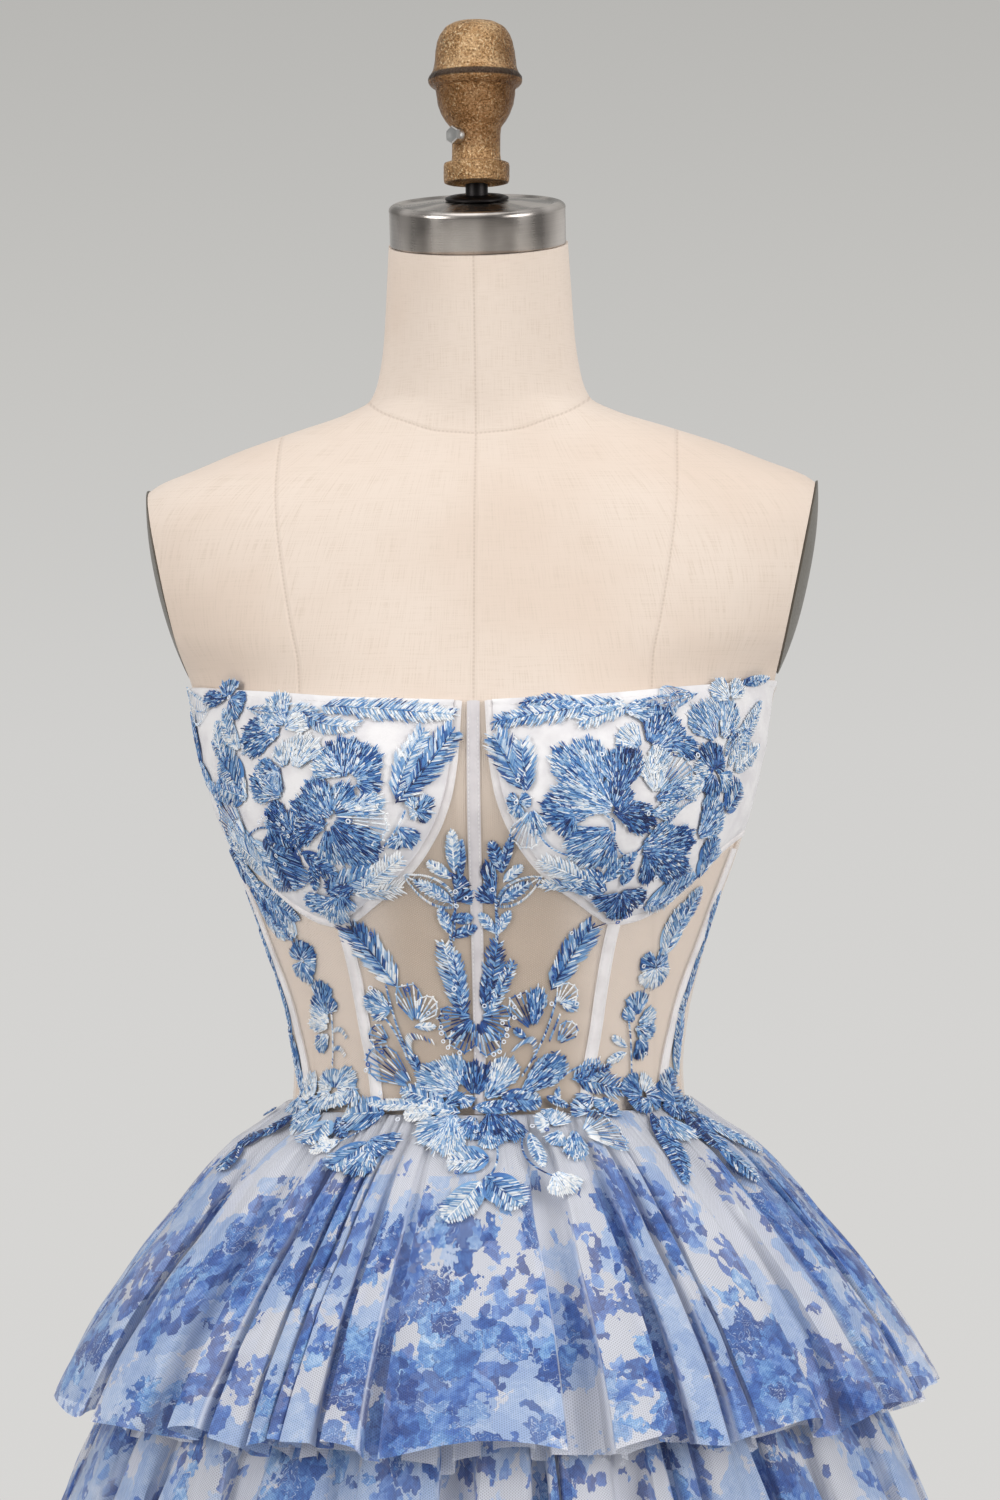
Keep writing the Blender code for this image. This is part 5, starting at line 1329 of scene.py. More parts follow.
def makeLining():
    look = liningLook
    turns = np.linspace(0, 2 * pi, look["columns"], endpoint=False)
    angle, height = np.meshgrid(turns, np.linspace(look["low"], look["high"], look["rows"]))
    sizes = [readTable(underskirtShape, column, height) for column in range(1, 5)]
    wave = 0.5 + 0.5 * np.sin(24 * angle + 3 * np.sin(2 * angle))
    radius = ovalRadius(angle, *sizes) - look["inset"] - look["wave"] * wave * smoothStep(-0.02, -0.2, height)
    width = float(2 * pi * radius[0].mean())
    uv = np.stack([turns / (2 * pi) * width + 0 * height, height], -1)
    grid = ringPoints(radius, angle, formShape["waist"] + height)
    piece = sheetRing("liningSkirt", grid, uv, {}, width, lining, "skirt_lining", "underskirt")
    tellArea(piece, width, look["length"])


for index, (node, tier) in enumerate(skirtTiers.items()):
    makeTier(index, node, tier)
makeLining()
print("stage: skirt")
fern, feather, fan, leaf, petal, ribbon, stem = ("fern", "feather", "fan", "leaf", "petal", "ribbon", "stem")
motifTable = {  # kind, foot (degrees, mm), tip (degrees, mm), width (mm), shade at foot and tip (percent), bend
    "cupLeft": (
        (fern, -38, 226.5, -3.5, 221, 15.5, 45, 85), (fern, -42.5, 224, -28, 215, 12.5, 30, 80, -0.1),
        (ribbon, -38, 224, -58, 227.5, 11.5, 70, 60, 0.04), (petal, -64, 235, -64.5, 245, 16.5, 40, 45),
        (petal, -64.5, 234.5, -72.5, 234, 10.5, 30, 35), (petal, -63.5, 233.5, -59, 232.5, 10.5, 35, 40),
        (petal, -63.5, 233.5, -60.5, 222, 15, 35, 40), (ribbon, -70, 229.5, -81, 242, 18, 80, 70, 0.2),
        (leaf, -59, 205, -65, 228, 13, 80, 70, 0.1), (leaf, -65, 202, -67, 221.5, 13, 75, 60),
        (petal, -47, 213.5, -59, 209.5, 25.5, 50, 35), (petal, -46, 217.5, -53, 233, 21, 60, 75),
        (petal, -46, 215.5, -40, 224, 21.5, 70, 90), (leaf, -48, 208.5, -54, 223, 8.5, 55, 70),
        (petal, -41, 193.5, -39, 211.5, 25.5, 85, 95), (petal, -44, 194.5, -46, 208, 18, 75, 90),
        (petal, -30, 187.5, -31.5, 209.5, 28, 45, 28), (petal, -28, 188.5, -23.5, 203.5, 21, 40, 40),
        (petal, -27, 186, -22, 189.5, 17, 60, 35), (petal, -30, 189.5, -37, 198.5, 17, 65, 70),
        (petal, -27, 185, -22, 181, 13.5, 30, 30), (petal, -44.5, 179.5, -55, 190, 23, 50, 50),
        (petal, -46, 195, -49, 180, 22.5, 45, 55), (petal, -45, 190.5, -53, 195.5, 13, 40, 45),
        (petal, -32, 168.5, -38, 186.5, 20, 50, 35), (petal, -33.5, 163.5, -42, 175.5, 23.5, 35, 30),
        (petal, -34, 164.5, -45.5, 157.5, 16, 22, 30), (petal, -31.5, 171, -28.5, 185, 15.5, 50, 35),
        (fan, -32, 168.5, -21, 163, 24, 50, 75), (petal, -32, 165.5, -24, 145.5, 27.5, 15, 30),
        (petal, -33, 162.5, -32, 144, 26, 25, 55), (petal, -29.5, 171, -21, 175.5, 14.5, 60, 70),
        (petal, -27, 173, -23, 179, 10, 50, 60), (stem, -42, 150.5, -27, 183, 1.3, 30, 50, 0.25),
        (stem, -41, 150.5, -33, 165.5, 1.3, 25, 35, 0.35), (stem, -58.5, 159, -41, 151.5, 1.3, 20, 25, 0.2),
        (petal, -41.5, 162.5, -50, 171.5, 22.5, 30, 20), (petal, -42, 161.5, -44.5, 169.5, 18, 35, 30),
        (leaf, -58, 181.5, -66, 202.5, 25.5, 50, 45), (leaf, -57, 179.5, -69, 185.5, 17.5, 45, 50),
        (petal, -56.5, 178, -60.5, 187, 16.5, 80, 85), (leaf, -62, 198.5, -69, 210.5, 11.5, 50, 60),
        (leaf, -77.5, 196, -80.5, 228, 13.5, 35, 50), (leaf, -72, 181, -78, 199.5, 11, 70, 50),
        (leaf, -68.5, 174, -72, 187.5, 11, 60, 40), (fan, -59.5, 157, -70, 175, 36, 60, 30),
        (leaf, -56, 141, -69, 160.5, 31.5, 80, 70), (leaf, -51, 159.5, -48, 129.5, 41, 18, 30),
        (leaf, -57, 157, -53, 131, 27, 80, 60), (leaf, -43, 152.5, -51, 158.5, 16, 20, 25),
        (leaf, -81, 148.5, -71, 128.5, 18, 30, 40), (leaf, -73, 129.5, -54, 110, 18, 60, 40),
        (leaf, -74, 125, -63, 97.5, 18, 40, 80), (leaf, -72, 158, -66.5, 142, 13.5, 75, 50),
        (leaf, -75, 145, -66, 122, 11, 70, 50), (leaf, -41, 151.5, -34, 137.5, 13.5, 25, 40),
        (leaf, -39, 145, -41.5, 130.5, 8, 30, 30), (stem, -39.5, 147, -37.5, 127.5, 1.3, 30, 30, 0.1),
        (feather, -38, 130, -25.5, 139.5, 18, 30, 70), (fern, -29, 131.5, -18.5, 147.5, 14.5, 80, 95),
        (fern, -31, 128.5, -20, 129, 17.5, 80, 95), (petal, -37, 125, -47, 120.5, 15, 40, 50),
        (petal, -36, 126.5, -42, 110, 20, 50, 75), (petal, -30.5, 133, -38.5, 129, 15.5, 15, 20),
        (petal, -34.5, 127.5, -35, 117, 12, 40, 60), (feather, -19, 174.5, -5, 214.5, 19, 30, 50),
        (feather, -19, 176.5, -13, 213.5, 15.5, 50, 80, 0.05), (petal, -14, 170.5, -11, 177.5, 10, 35, 35),
        (petal, -14.5, 170.5, -11, 167, 10.5, 30, 40), (petal, -15, 171.5, -16, 177.5, 8, 70, 70),
        (petal, -14.5, 169.5, -16, 168.5, 8, 60, 80), (stem, -17, 170.5, -23, 151.5, 1.3, 70, 50, 0.05),
        (petal, -18.5, 162.5, -15, 153, 13.5, 40, 35), (petal, -18, 158.5, -21, 152.5, 8.5, 50, 40),
    ),
    "cupRight": (
        (fern, 37.5, 227, 4.5, 216.5, 15, 70, 40), (fern, 31.5, 221.5, 13, 226.5, 10, 75, 30, -0.1),
        (fern, 37.5, 224, 26, 215, 12.5, 70, 80), (ribbon, 36.5, 222.5, 56, 232.5, 10.5, 50, 50, -0.04),
        (petal, 37, 221.5, 44, 221.5, 14, 60, 55), (petal, 38.5, 202, 35, 212.5, 19, 75, 80),
        (petal, 41, 204, 48, 223.5, 29, 40, 28), (petal, 43, 202, 51, 212.5, 19.5, 55, 28),
        (petal, 46, 205.5, 54, 200.5, 15, 40, 35), (ribbon, 48, 219.5, 54, 233, 13.5, 60, 50, 0.3),
        (petal, 59, 207.5, 54.5, 226, 26, 55, 60), (petal, 61, 208.5, 65.5, 229, 18, 70, 70),
        (petal, 61, 217.5, 60, 231, 17, 60, 60), (petal, 64, 230, 60.5, 239, 16.5, 80, 75),
        (petal, 64.5, 231, 68.5, 240, 12, 80, 85), (leaf, 68, 239, 77, 243, 6.5, 30, 80),
        (leaf, 63, 214, 65, 208, 10, 35, 30), (leaf, 63, 193, 74, 229.5, 13, 75, 70),
        (leaf, 65, 191, 74, 204.5, 13.5, 80, 80), (ribbon, 61.5, 198.5, 70, 214.5, 8, 60, 60, 0.1),
        (petal, 41, 178.5, 41, 198.5, 20.5, 80, 90), (fan, 41, 177.5, 50.5, 194.5, 20.5, 70, 50),
        (petal, 41, 175, 50, 182.5, 13, 30, 60), (petal, 40, 188, 45, 203, 15, 80, 80),
        (petal, 58, 190.5, 57, 206.5, 20.5, 15, 20), (petal, 58, 190.5, 52, 190.5, 12.5, 50, 60),
        (petal, 58, 193, 62, 193, 12.5, 20, 25), (petal, 58, 188.5, 56.5, 176.5, 19.5, 30, 25),
        (petal, 55, 185, 48, 178.5, 14, 80, 80), (petal, 60, 188.5, 64, 182, 14.5, 60, 60),
        (petal, 29, 177.5, 20, 202.5, 21.5, 50, 50), (petal, 29, 182.5, 25, 207, 26, 55, 50),
        (petal, 32, 183.5, 30, 200.5, 16.5, 45, 40), (petal, 32.5, 178.5, 37, 204, 20, 30, 15),
        (petal, 31.5, 170.5, 19.5, 181, 21.5, 60, 55), (petal, 26.5, 167, 17, 173.5, 21.5, 35, 30),
        (petal, 24, 168, 21, 158, 13.5, 30, 35), (petal, 31.5, 171.5, 33, 184.5, 21.5, 30, 30),
        (petal, 31.5, 170.5, 41.5, 163.5, 19, 8, 20), (petal, 32.5, 167.5, 36, 174.5, 14.5, 20, 25),
        (petal, 31.5, 161, 23.5, 146, 29.5, 30, 45), (petal, 32, 156, 29, 142, 23, 30, 40),
        (petal, 39, 150.5, 54.5, 153.5, 24.5, 35, 30), (petal, 40, 150.5, 56.5, 132.5, 19.5, 30, 35),
        (petal, 39, 154, 47, 161.5, 15.5, 40, 50), (petal, 40.5, 148.5, 44, 131, 12.5, 30, 30),
        (petal, 55, 156.5, 62, 173, 30, 45, 50), (leaf, 63.5, 169, 68, 184, 20, 40, 35),
        (ribbon, 44, 162.5, 52, 174.5, 12, 50, 50, 0.3), (petal, 40, 168.5, 47, 170.5, 11.5, 60, 70),
        (leaf, 62, 131.5, 64.5, 150, 24.5, 45, 65), (leaf, 60.5, 140, 62, 156, 18, 40, 40),
        (feather, 13.5, 180, 6, 210.5, 19.5, 35, 60), (feather, 14, 180, 13, 206.5, 15, 40, 55),
        (petal, 12, 174, 9, 176, 9, 50, 40), (petal, 12, 174, 15, 176, 9, 50, 50),
        (petal, 12, 173, 11, 166.5, 10.5, 60, 70), (fan, 15, 170, 12.5, 151, 18.5, 75, 80),
        (petal, 15, 170, 17, 157.5, 12, 60, 60), (stem, 16, 161.5, 26, 147.5, 1.3, 50, 50, -0.15),
        (stem, 32, 159, 40.5, 157, 1.3, 25, 25, -0.5), (stem, 61, 133, 47, 120, 1.3, 40, 40, 0.1),
        (stem, 31.5, 166, 32, 156, 1.3, 30, 30, 0.1), (stem, 23, 174.5, 32, 164, 1.3, 60, 50, 0.1),
        (fern, 28.5, 134, 17, 144.5, 16, 70, 95), (fern, 28, 130, 18, 129.5, 16, 60, 95),
        (petal, 33.5, 127, 25.5, 137, 19, 30, 50), (leaf, 32, 133, 38, 149.5, 10, 40, 40),
        (leaf, 37, 131.5, 38, 140.5, 7.5, 40, 40), (petal, 37, 127, 34, 115.5, 20.5, 20, 15),
        (petal, 37, 127, 41, 110, 18.5, 15, 15), (petal, 37.5, 128, 45, 120, 14.5, 20, 20),
        (leaf, 46, 118.5, 60, 133, 19.5, 60, 50), (fern, 45.5, 118.5, 54.5, 119.5, 17.5, 50, 80),
    ),
    "sideLeft": (
        (feather, -26.5, 71.5, -38, 107, 21.5, 70, 12), (fan, -21.5, 52, -24, 73.5, 15.5, 50, 50),
        (fan, -21, 52, -15.5, 65.5, 13.5, 60, 95), (petal, -29.5, 58.5, -38, 66.5, 15.5, 60, 60),
        (petal, -30, 58, -36.5, 55, 8, 60, 55), (fan, -31.5, 41.5, -37.5, 47, 13, 40, 40),
        (stem, -23, 30, -16, 40.5, 7, 70, 95, 0.7), (leaf, -22, 49.5, -15, 49.5, 5, 80, 95),
        (stem, -30, 72.5, -23, 26.5, 1.3, 50, 40, -0.05), (stem, -32, 55, -25.5, 31, 1.3, 50, 40, 0.05),
        (leaf, -22, 24, -24, 33.5, 6.5, 30, 30), (leaf, -9, 102.5, -11, 116, 6, 60, 70),
        (leaf, -8, 110, -1.5, 111.5, 6, 25, 30), (leaf, -8, 100, 0, 106, 6.5, 30, 45),
        (leaf, -6, 136.5, -6, 160, 8.5, 50, 85), (leaf, -4.5, 132, -3.5, 154.5, 5.5, 40, 40),
        (leaf, -7, 133, -13, 142.5, 7.5, 60, 85), (ribbon, -6, 117, -19, 136, 16, 55, 90),
        (leaf, -7, 119.5, -17, 132.5, 8.5, 60, 70), (stem, -6, 136.5, -7.5, 98.5, 1.3, 25, 35, 0.02),
        (petal, -6, 120.5, -1, 126, 11.5, 22, 25), (petal, -6, 127.5, -3, 134, 10.5, 25, 30),
        (leaf, -8, 102, -11, 116.5, 6.5, 60, 60), (leaf, -7, 109, -1.5, 111, 6.5, 30, 30),
        (leaf, -59.5, 97, -74, 126, 17, 50, 30), (leaf, -58, 99, -66, 118.5, 20, 85, 50),
        (petal, -58, 86.5, -60.5, 95.5, 19.5, 30, 30), (petal, -58, 86.5, -52.5, 93.5, 13, 35, 30),
        (petal, -57.5, 85, -54, 79.5, 16.5, 50, 45), (petal, -58, 85, -60.5, 73.5, 19.5, 50, 55),
        (petal, -54, 61, -52.5, 74.5, 17, 50, 35), (petal, -52, 55, -59, 63, 13.5, 60, 40),
        (petal, -52, 56.5, -49, 64.5, 9, 40, 50), (petal, -52, 51.5, -60, 57, 13, 80, 90),
        (petal, -53, 48, -62, 49.5, 9, 90, 90), (petal, -53.5, 43.5, -60.5, 34.5, 11, 70, 55),
        (stem, -50.5, 62.5, -53.5, 26, 1.3, 70, 60, 0.02), (stem, -51, 46, -46.5, 42.5, 4.5, 80, 85, 0.3),
        (stem, -52, 35.5, -48, 32, 4.5, 70, 70, 0.3), (petal, -53, 13, -53, 24.5, 20, 65, 60),
        (petal, -54, 13, -60.5, 15.5, 14, 90, 90), (petal, -52, 14, -44.5, 23, 14, 70, 65),
        (petal, -52, 12, -44, 9, 15, 85, 70), (petal, -53, 10.5, -49, 3, 17, 90, 85),
        (petal, -54.5, 10.5, -57.5, 4.5, 17, 80, 60), (petal, -61.5, 6, -67.5, 17, 21.5, 90, 90),
        (petal, -66.5, 6.5, -66, -2.5, 22.5, 60, 55), (leaf, -71.5, 10.5, -79, 44, 15.5, 60, 30),
        (leaf, -76, 41, -78.5, 75, 9, 60, 50), (leaf, -76.5, 69.5, -79, 102.5, 9, 45, 60),
        (leaf, -79.5, 96.5, -82, 125, 9, 60, 50), (leaf, -66.5, 6.5, -76, 26.5, 11, 50, 70),
    ),
    "frontMiddle": (
        (fern, -5.5, 55.5, -11, 98.5, 16, 30, 80), (feather, -5.5, 61, -8, 92, 10.5, 35, 50),
        (fern, 3, 56.5, 6.5, 99, 13.5, 20, 30), (fern, 4, 58.5, 11.5, 86, 10.5, 60, 40),
        (feather, 2, 58.5, 3, 77, 9, 20, 30), (fan, -2, 55, -13, 48.5, 21, 22, 30),
        (fan, -2, 53, -8, 36.5, 15.5, 30, 35), (fan, 0.5, 54.5, 10, 49.5, 21, 28, 30),
        (fan, 0, 53, 5, 34.5, 16, 22, 30), (stem, -8, 94.5, -6, 116.5, 1.3, 50, 40, 0.1),
        (stem, 6, 95.5, 6, 116, 1.3, 50, 40, -0.05),
    ),
    "sideRight": (
        (feather, 23.5, 69.5, 34, 107, 17.5, 40, 40), (fan, 18, 48, 13, 67.5, 16, 20, 30),
        (petal, 19, 50, 19.5, 72, 11.5, 35, 45), (fan, 26, 61.5, 30.5, 71.5, 14.5, 80, 90),
        (petal, 27, 62.5, 33, 59, 8, 60, 70), (fan, 27, 39.5, 32, 51, 12, 50, 50),
        (stem, 25.5, 65, 15, 21.5, 1.3, 40, 35, 0.06), (stem, 27, 55.5, 24, 41, 1.3, 40, 40),
        (stem, 19, 30.5, 12, 36.5, 6, 40, 40, -0.7), (leaf, 16, 42.5, 12, 48, 4.5, 40, 40),
        (leaf, 6, 101.5, 1, 113.5, 6, 70, 70), (leaf, 6.5, 101.5, 10, 114.5, 6, 65, 60),
        (leaf, 7.5, 136, 4.5, 153.5, 8.5, 28, 30), (leaf, 7.5, 136, 10, 156, 6, 30, 35),
        (leaf, 8, 131, 13, 140, 6.5, 60, 85), (ribbon, 6, 117, 18, 134, 14, 40, 90),
        (leaf, 7, 119, 15, 130.5, 8, 40, 50), (petal, 5.5, 119, 1, 128.5, 13, 20, 22),
        (petal, 5.5, 123.5, 3, 143, 8.5, 25, 25), (stem, 5, 136, 6, 98, 1.3, 30, 45, 0.02),
        (leaf, 6, 103, 10, 113.5, 6, 50, 45), (leaf, 5.5, 102, 1, 113.5, 6.5, 70, 60),
        (leaf, 59, 86.5, 63, 116.5, 19.5, 85, 50), (leaf, 61.5, 98, 67, 125, 16, 40, 55),
        (petal, 57, 80.5, 51, 85.5, 12, 30, 35), (petal, 57, 81, 61, 86.5, 16, 40, 45),
        (petal, 57.5, 80, 62, 71.5, 14.5, 65, 75), (petal, 56.5, 79.5, 54.5, 68.5, 17.5, 85, 90),
        (petal, 53, 53.5, 52, 67, 16.5, 35, 60), (petal, 52, 50, 48, 57.5, 8.5, 50, 50),
        (petal, 54, 48.5, 61, 54, 12, 70, 75), (petal, 55, 45, 61.5, 43.5, 10.5, 50, 60),
        (petal, 54.5, 39.5, 57.5, 28, 13, 50, 30), (petal, 53, 46.5, 59, 39, 8.5, 50, 55),
        (stem, 49, 56.5, 53, 16, 1.3, 60, 65, 0.04), (leaf, 50.5, 35.5, 45, 42, 5, 90, 90),
        (leaf, 50.5, 32, 44, 27.5, 6, 90, 90), (petal, 56, 8, 50, 17, 16.5, 40, 45),
        (petal, 57, 9, 61, 16.5, 16.5, 85, 90), (petal, 57, 7.5, 61.5, 4, 18.5, 30, 35),
        (petal, 55, 7, 51, -0.5, 14.5, 25, 30), (stem, 62, 11.5, 61.5, 4, 7.5, 90, 90, -0.3),
        (leaf, 64, -3.5, 73, 19.5, 24.5, 35, 40), (leaf, 76.5, 15, 73.5, 64, 15.5, 65, 50),
        (leaf, 76, 55.5, 78, 90.5, 12.5, 40, 45), (leaf, 79, 87, 78.5, 122, 11, 30, 35),
        (petal, 68, -2, 79, 1, 12, 40, 60),
    ),
    "waistLeft": (
        (petal, -8, 12.5, -23, 23, 23, 55, 60), (leaf, -12.5, 6, -28.5, 14, 14, 50, 60),
        (leaf, -21, 5.5, -38, 5.5, 9, 85, 90), (fan, -24.5, 16, -38.5, 34.5, 20.5, 40, 40),
        (leaf, -6.5, 1.5, -21.5, 6, 10, 50, 85), (petal, -6.5, -0.5, -17.5, -14, 27.5, 50, 70),
        (leaf, -15, 2.5, -25, 0.5, 10.5, 80, 95), (leaf, -31.5, 1.5, -44.5, -0.5, 20.5, 30, 75),
        (stem, -31.5, 1, -40, -14.5, 1.3, 60, 60, 0.05), (petal, -31.5, -12.5, -23, -16.5, 22.5, 35, 35),
        (leaf, -31.5, -14, -37, -27.5, 22.5, 45, 50), (petal, -29.5, -17, -30, -31, 21, 65, 30),
        (leaf, -40, -13.5, -45, -19.5, 12, 95, 95), (leaf, -46.5, -11, -40, -19.5, 6, 95, 95),
        (leaf, -48, -3.5, -49, -16, 22.5, 75, 50), (leaf, -53, -1, -59.5, -9, 20, 60, 65),
        (leaf, -46, -2, -39, -12, 8.5, 15, 20), (leaf, -64, -3, -68.5, -14.5, 14.5, 8, 15),
        (leaf, -67.5, -13.5, -73, -19.5, 20, 10, 10), (leaf, -70, -20.5, -67.5, -33.5, 17, 20, 30),
        (petal, -59.5, 2, -64, -3.5, 20, 70, 60), (petal, -56.5, 7.5, -59, 1, 20.5, 70, 60),
        (petal, -46, 14.5, -47, 5.5, 17, 70, 60), (leaf, -82, -2, -92, -8, 5.5, 30, 30),
    ),
    "waistMiddle": (
        (petal, -7, 16, -13, 33, 18.5, 60, 70), (petal, -2, 11, -1, 30.5, 26, 10, 28),
        (petal, 4, 12.5, 12, 31.5, 18, 60, 80), (petal, 2, 9, 8, 19.5, 12.5, 50, 60),
        (petal, -12, 6, -6, 11.5, 10, 30, 40), (petal, -7, 10.5, -3, 5, 10.5, 40, 50),
        (leaf, -2.5, 4, 14, 4.5, 10, 50, 30), (petal, -9, 0.5, -9, -20, 20.5, 60, 75),
        (petal, 3.5, 1.5, 6, -14, 26.5, 18, 30), (petal, -2, -0.5, -5.5, -11, 19, 35, 50),
        (petal, 8.5, 0.5, 10.5, -13, 16.5, 30, 25), (petal, 2.5, -8, 3.5, -17, 13, 60, 70),
        (leaf, 3, -21.5, -8, -22, 22, 50, 90), (leaf, 1, -32.5, -6.5, -52, 19.5, 60, 80),
        (leaf, 2, -29.5, 10, -44.5, 23, 30, 75), (stem, 5, -15, 2, -32, 1.3, 50, 40, 0.1),
    ),
    "waistRight": (
        (leaf, 7.5, 9.5, 21, 7, 15.5, 30, 40), (petal, 15, 12, 30, 31.5, 18, 40, 45),
        (stem, 27.5, 19.5, 25.5, 34.5, 3.5, 40, 35, 0.5), (leaf, 15, -9, 16, -26, 9, 60, 85),
        (petal, 21.5, -4, 17, -4, 15, 80, 80), (petal, 22, -5.5, 27, 1, 13.5, 70, 80),
        (fan, 30, -10, 40.5, -8.5, 32.5, 92, 50), (petal, 28, -8.5, 24.5, -23, 14, 50, 60),
        (petal, 18.5, -28.5, 21, -39.5, 22.5, 88, 92), (stem, 13.5, -8, 18, -30.5, 1.3, 15, 20, -0.2),
        (petal, 24, -8.5, 20, -15.5, 12, 60, 65), (petal, 24, 3, 21, -3, 10.5, 70, 60),
        (petal, 35, 0.5, 30, 5, 14, 50, 50), (petal, 39, 0, 45, 4, 13.5, 40, 50),
        (stem, 27, 17.5, 40, 27, 1.3, 40, 40, 0.1), (fern, 32.5, 19.5, 41, 27.5, 10.5, 50, 40),
        (fern, 34.5, 18.5, 49, 11.5, 15.5, 35, 40), (fern, 34, 18, 45, 24.5, 9.5, 35, 30),
        (leaf, 26, 5, 27.5, 14, 3.5, 40, 40), (leaf, 23, 9.5, 29, 4, 6.5, 40, 50),
        (leaf, 55, -2, 48, -38.5, 14, 15, 40), (petal, 58, -4, 57.5, -17, 29, 40, 75),
        (leaf, 68.5, -3.5, 64.5, -24, 20, 15, 20), (leaf, 73, -4.5, 79, -28.5, 18, 40, 60),
        (leaf, 64.5, -20.5, 67.5, -41, 17, 40, 50), (fern, 71, -7, 79, -24, 20, 40, 60),
        (petal, 68.5, 2.5, 61, -4.5, 15, 35, 30), (petal, 57, 5, 52, 0.5, 10.5, 50, 50),
        (petal, 42, 5.5, 37.5, 3, 12.5, 50, 50), (petal, 38, 8.5, 33, 5.5, 11, 40, 50),
    ),
}
sequinTable = (  # degrees, mm
    (-52, 166.5), (-49, 168.5), (-49, 170.5), (-46, 171.5), (-45, 165.5), (-43, 160), (-49, 149.5), (-47, 145),
    (-57.5, 207), (-28.5, 166.5), (-50.5, 169), (-44, 169), (-44, 163.5), (-13, 128.5), (-11, 124), (-7, 135.5),
    (-6, 126), (-6, 118), (-3, 122.5), (-63.5, 234.5), (11.5, 174), (17, 220.5), (38, 219.5), (30, 198), (53, 198.5),
    (32.5, 129.5), (39.5, 109), (41, 112.5), (44, 119), (30, 125.5), (47, 120), (12, 185.5), (9, 123.5), (5, 127),
    (45, 135.5), (57, 190.5), (39, 168.5), (-17, 57.5), (-31.5, 102.5), (-23, 71), (-35, 71.5), (13.5, 66.5),
    (32, 61.5), (24, 77), (24, 81.5), (28, 102), (12, 60.5), (12, 54.5), (24, 62), (-8, 71), (2, 61.5), (-13, 46),
    (-12.5, 41.5), (-11, 38), (-13, 49.5), (-11, 55), (-7, 35), (9.5, 48), (9.5, 44.5), (8.5, 41), (7, 35.5), (5, 34),
    (8, 51.5), (-39, 28), (-40, 24.5), (-34, 35), (-35, 11.5), (-7.5, -22.5), (-5.5, -22.5), (-4, -22.5), (-2, -22.5),
    (-1, -22.5), (-3, -5.5), (-1, -8), (37, -15.5), (23.5, -1), (25, -21), (-5, -28), (20, -7.5), (-57.5, 42),
    (-57.5, 86.5), (57.5, 31), (52, 81.5), (-26, -2), (16, -5.5),
)


# The embroidery: satin-stitched leaves, petals, ferns, fans and cords, and ring sequins

stitchPlan = {
    "seed": 5, "pitch": 0.00092, "width": 0.0009, "height": 0.00062, "base": 0.0004, "layer": 0.00011, "layers": 5,
    "dome": 0.0008, "jitter": 0.23, "glint": 0.2, "panel": 0.0013, "cup": 0.0006, "bone": 0.0009, "waist": 0.0015,
    "thick": (0.88, 1.14), "stretch": 1.12, "ends": 0.0003, "glintShade": 0.35, "under": 0.1,
}


def stitchGround(angle, height, out):
    # what the embroidery lies on: net, bones, cups, and below the waist the folds of the top tier
    plan = bodicePlan
    reach = np.abs(angle)
    radius = flatRadius(height)
    wire = wireLine(150)
    away = np.hypot((reach[..., None] - wire[:, 0]) * radius[..., None], height[..., None] - wire[:, 1]).min(axis=-1)
    for seam, top in (("centre", 0.24), ("princess", 0.107), ("sideBone", 0.146)):
        middle = 0.0 if seam == "centre" else seamAngle(seam, height)
        away = np.minimum(away, np.abs(reach - middle) * radius + np.maximum(height - top, 0))
    first = radians(plan["cupWire"][0][0])
    inside = (reach > first) & (height > wireHeight(reach)) & (reach < seamAngle("sideSeam", height))
    lift = stitchPlan["panel"] + stitchPlan["bone"] * smoothStep(0.006, 0.004, away)
    cup = plan["formGap"] + plan["cupWall"] + stitchPlan["cup"] + cupDome(angle, height)
    lift = np.where(inside, np.maximum(cup, lift), lift) + out
    worn = bodyPoint(angle, np.maximum(height, -0.003), lift)
    tier = skirtTiers["tier_1"]
    crowd = foldPlan["crowding"]
    turns = angle - waveSum(crowd, angle - waveSum(crowd, angle, tier["drift"]), tier["drift"])
    low = np.minimum(height, tier["shape"][-1][0])
    sizes = [readTable(tier["shape"], index, low) for index in range(1, 6)]
    radius = ovalRadius(angle, *sizes[:4]) + sizes[4] * (1 + waveSum(foldPlan["depths"], turns, tier["drift"]))
    radius = radius + stitchPlan["waist"] + out
    hung = ringPoints(radius, angle, formShape["waist"] + height)
    part = smoothStep(0.012, -0.001, height)[..., None]
    return worn * (1 - part) + hung * part


def leafHalf(part):
    return np.sin(pi * np.clip(part, 0, 1) ** 0.85) ** 0.75


def petalEdge(turn, long, wide):
    scallop = 1 + 0.045 * np.cos(turn * pi * 5.2)
    along = long * (0.5 + 0.5 * np.cos(turn * pi / 2) ** 0.8) * scallop
    return along, wide / 2 * np.sin(turn * pi / 2) * scallop


strandLook = {"fern": (0.0019, 0.85, 0.45, 2), "feather": (0.00105, 1.15, 0.5, 1)}  # gap, slant, narrowest, strands


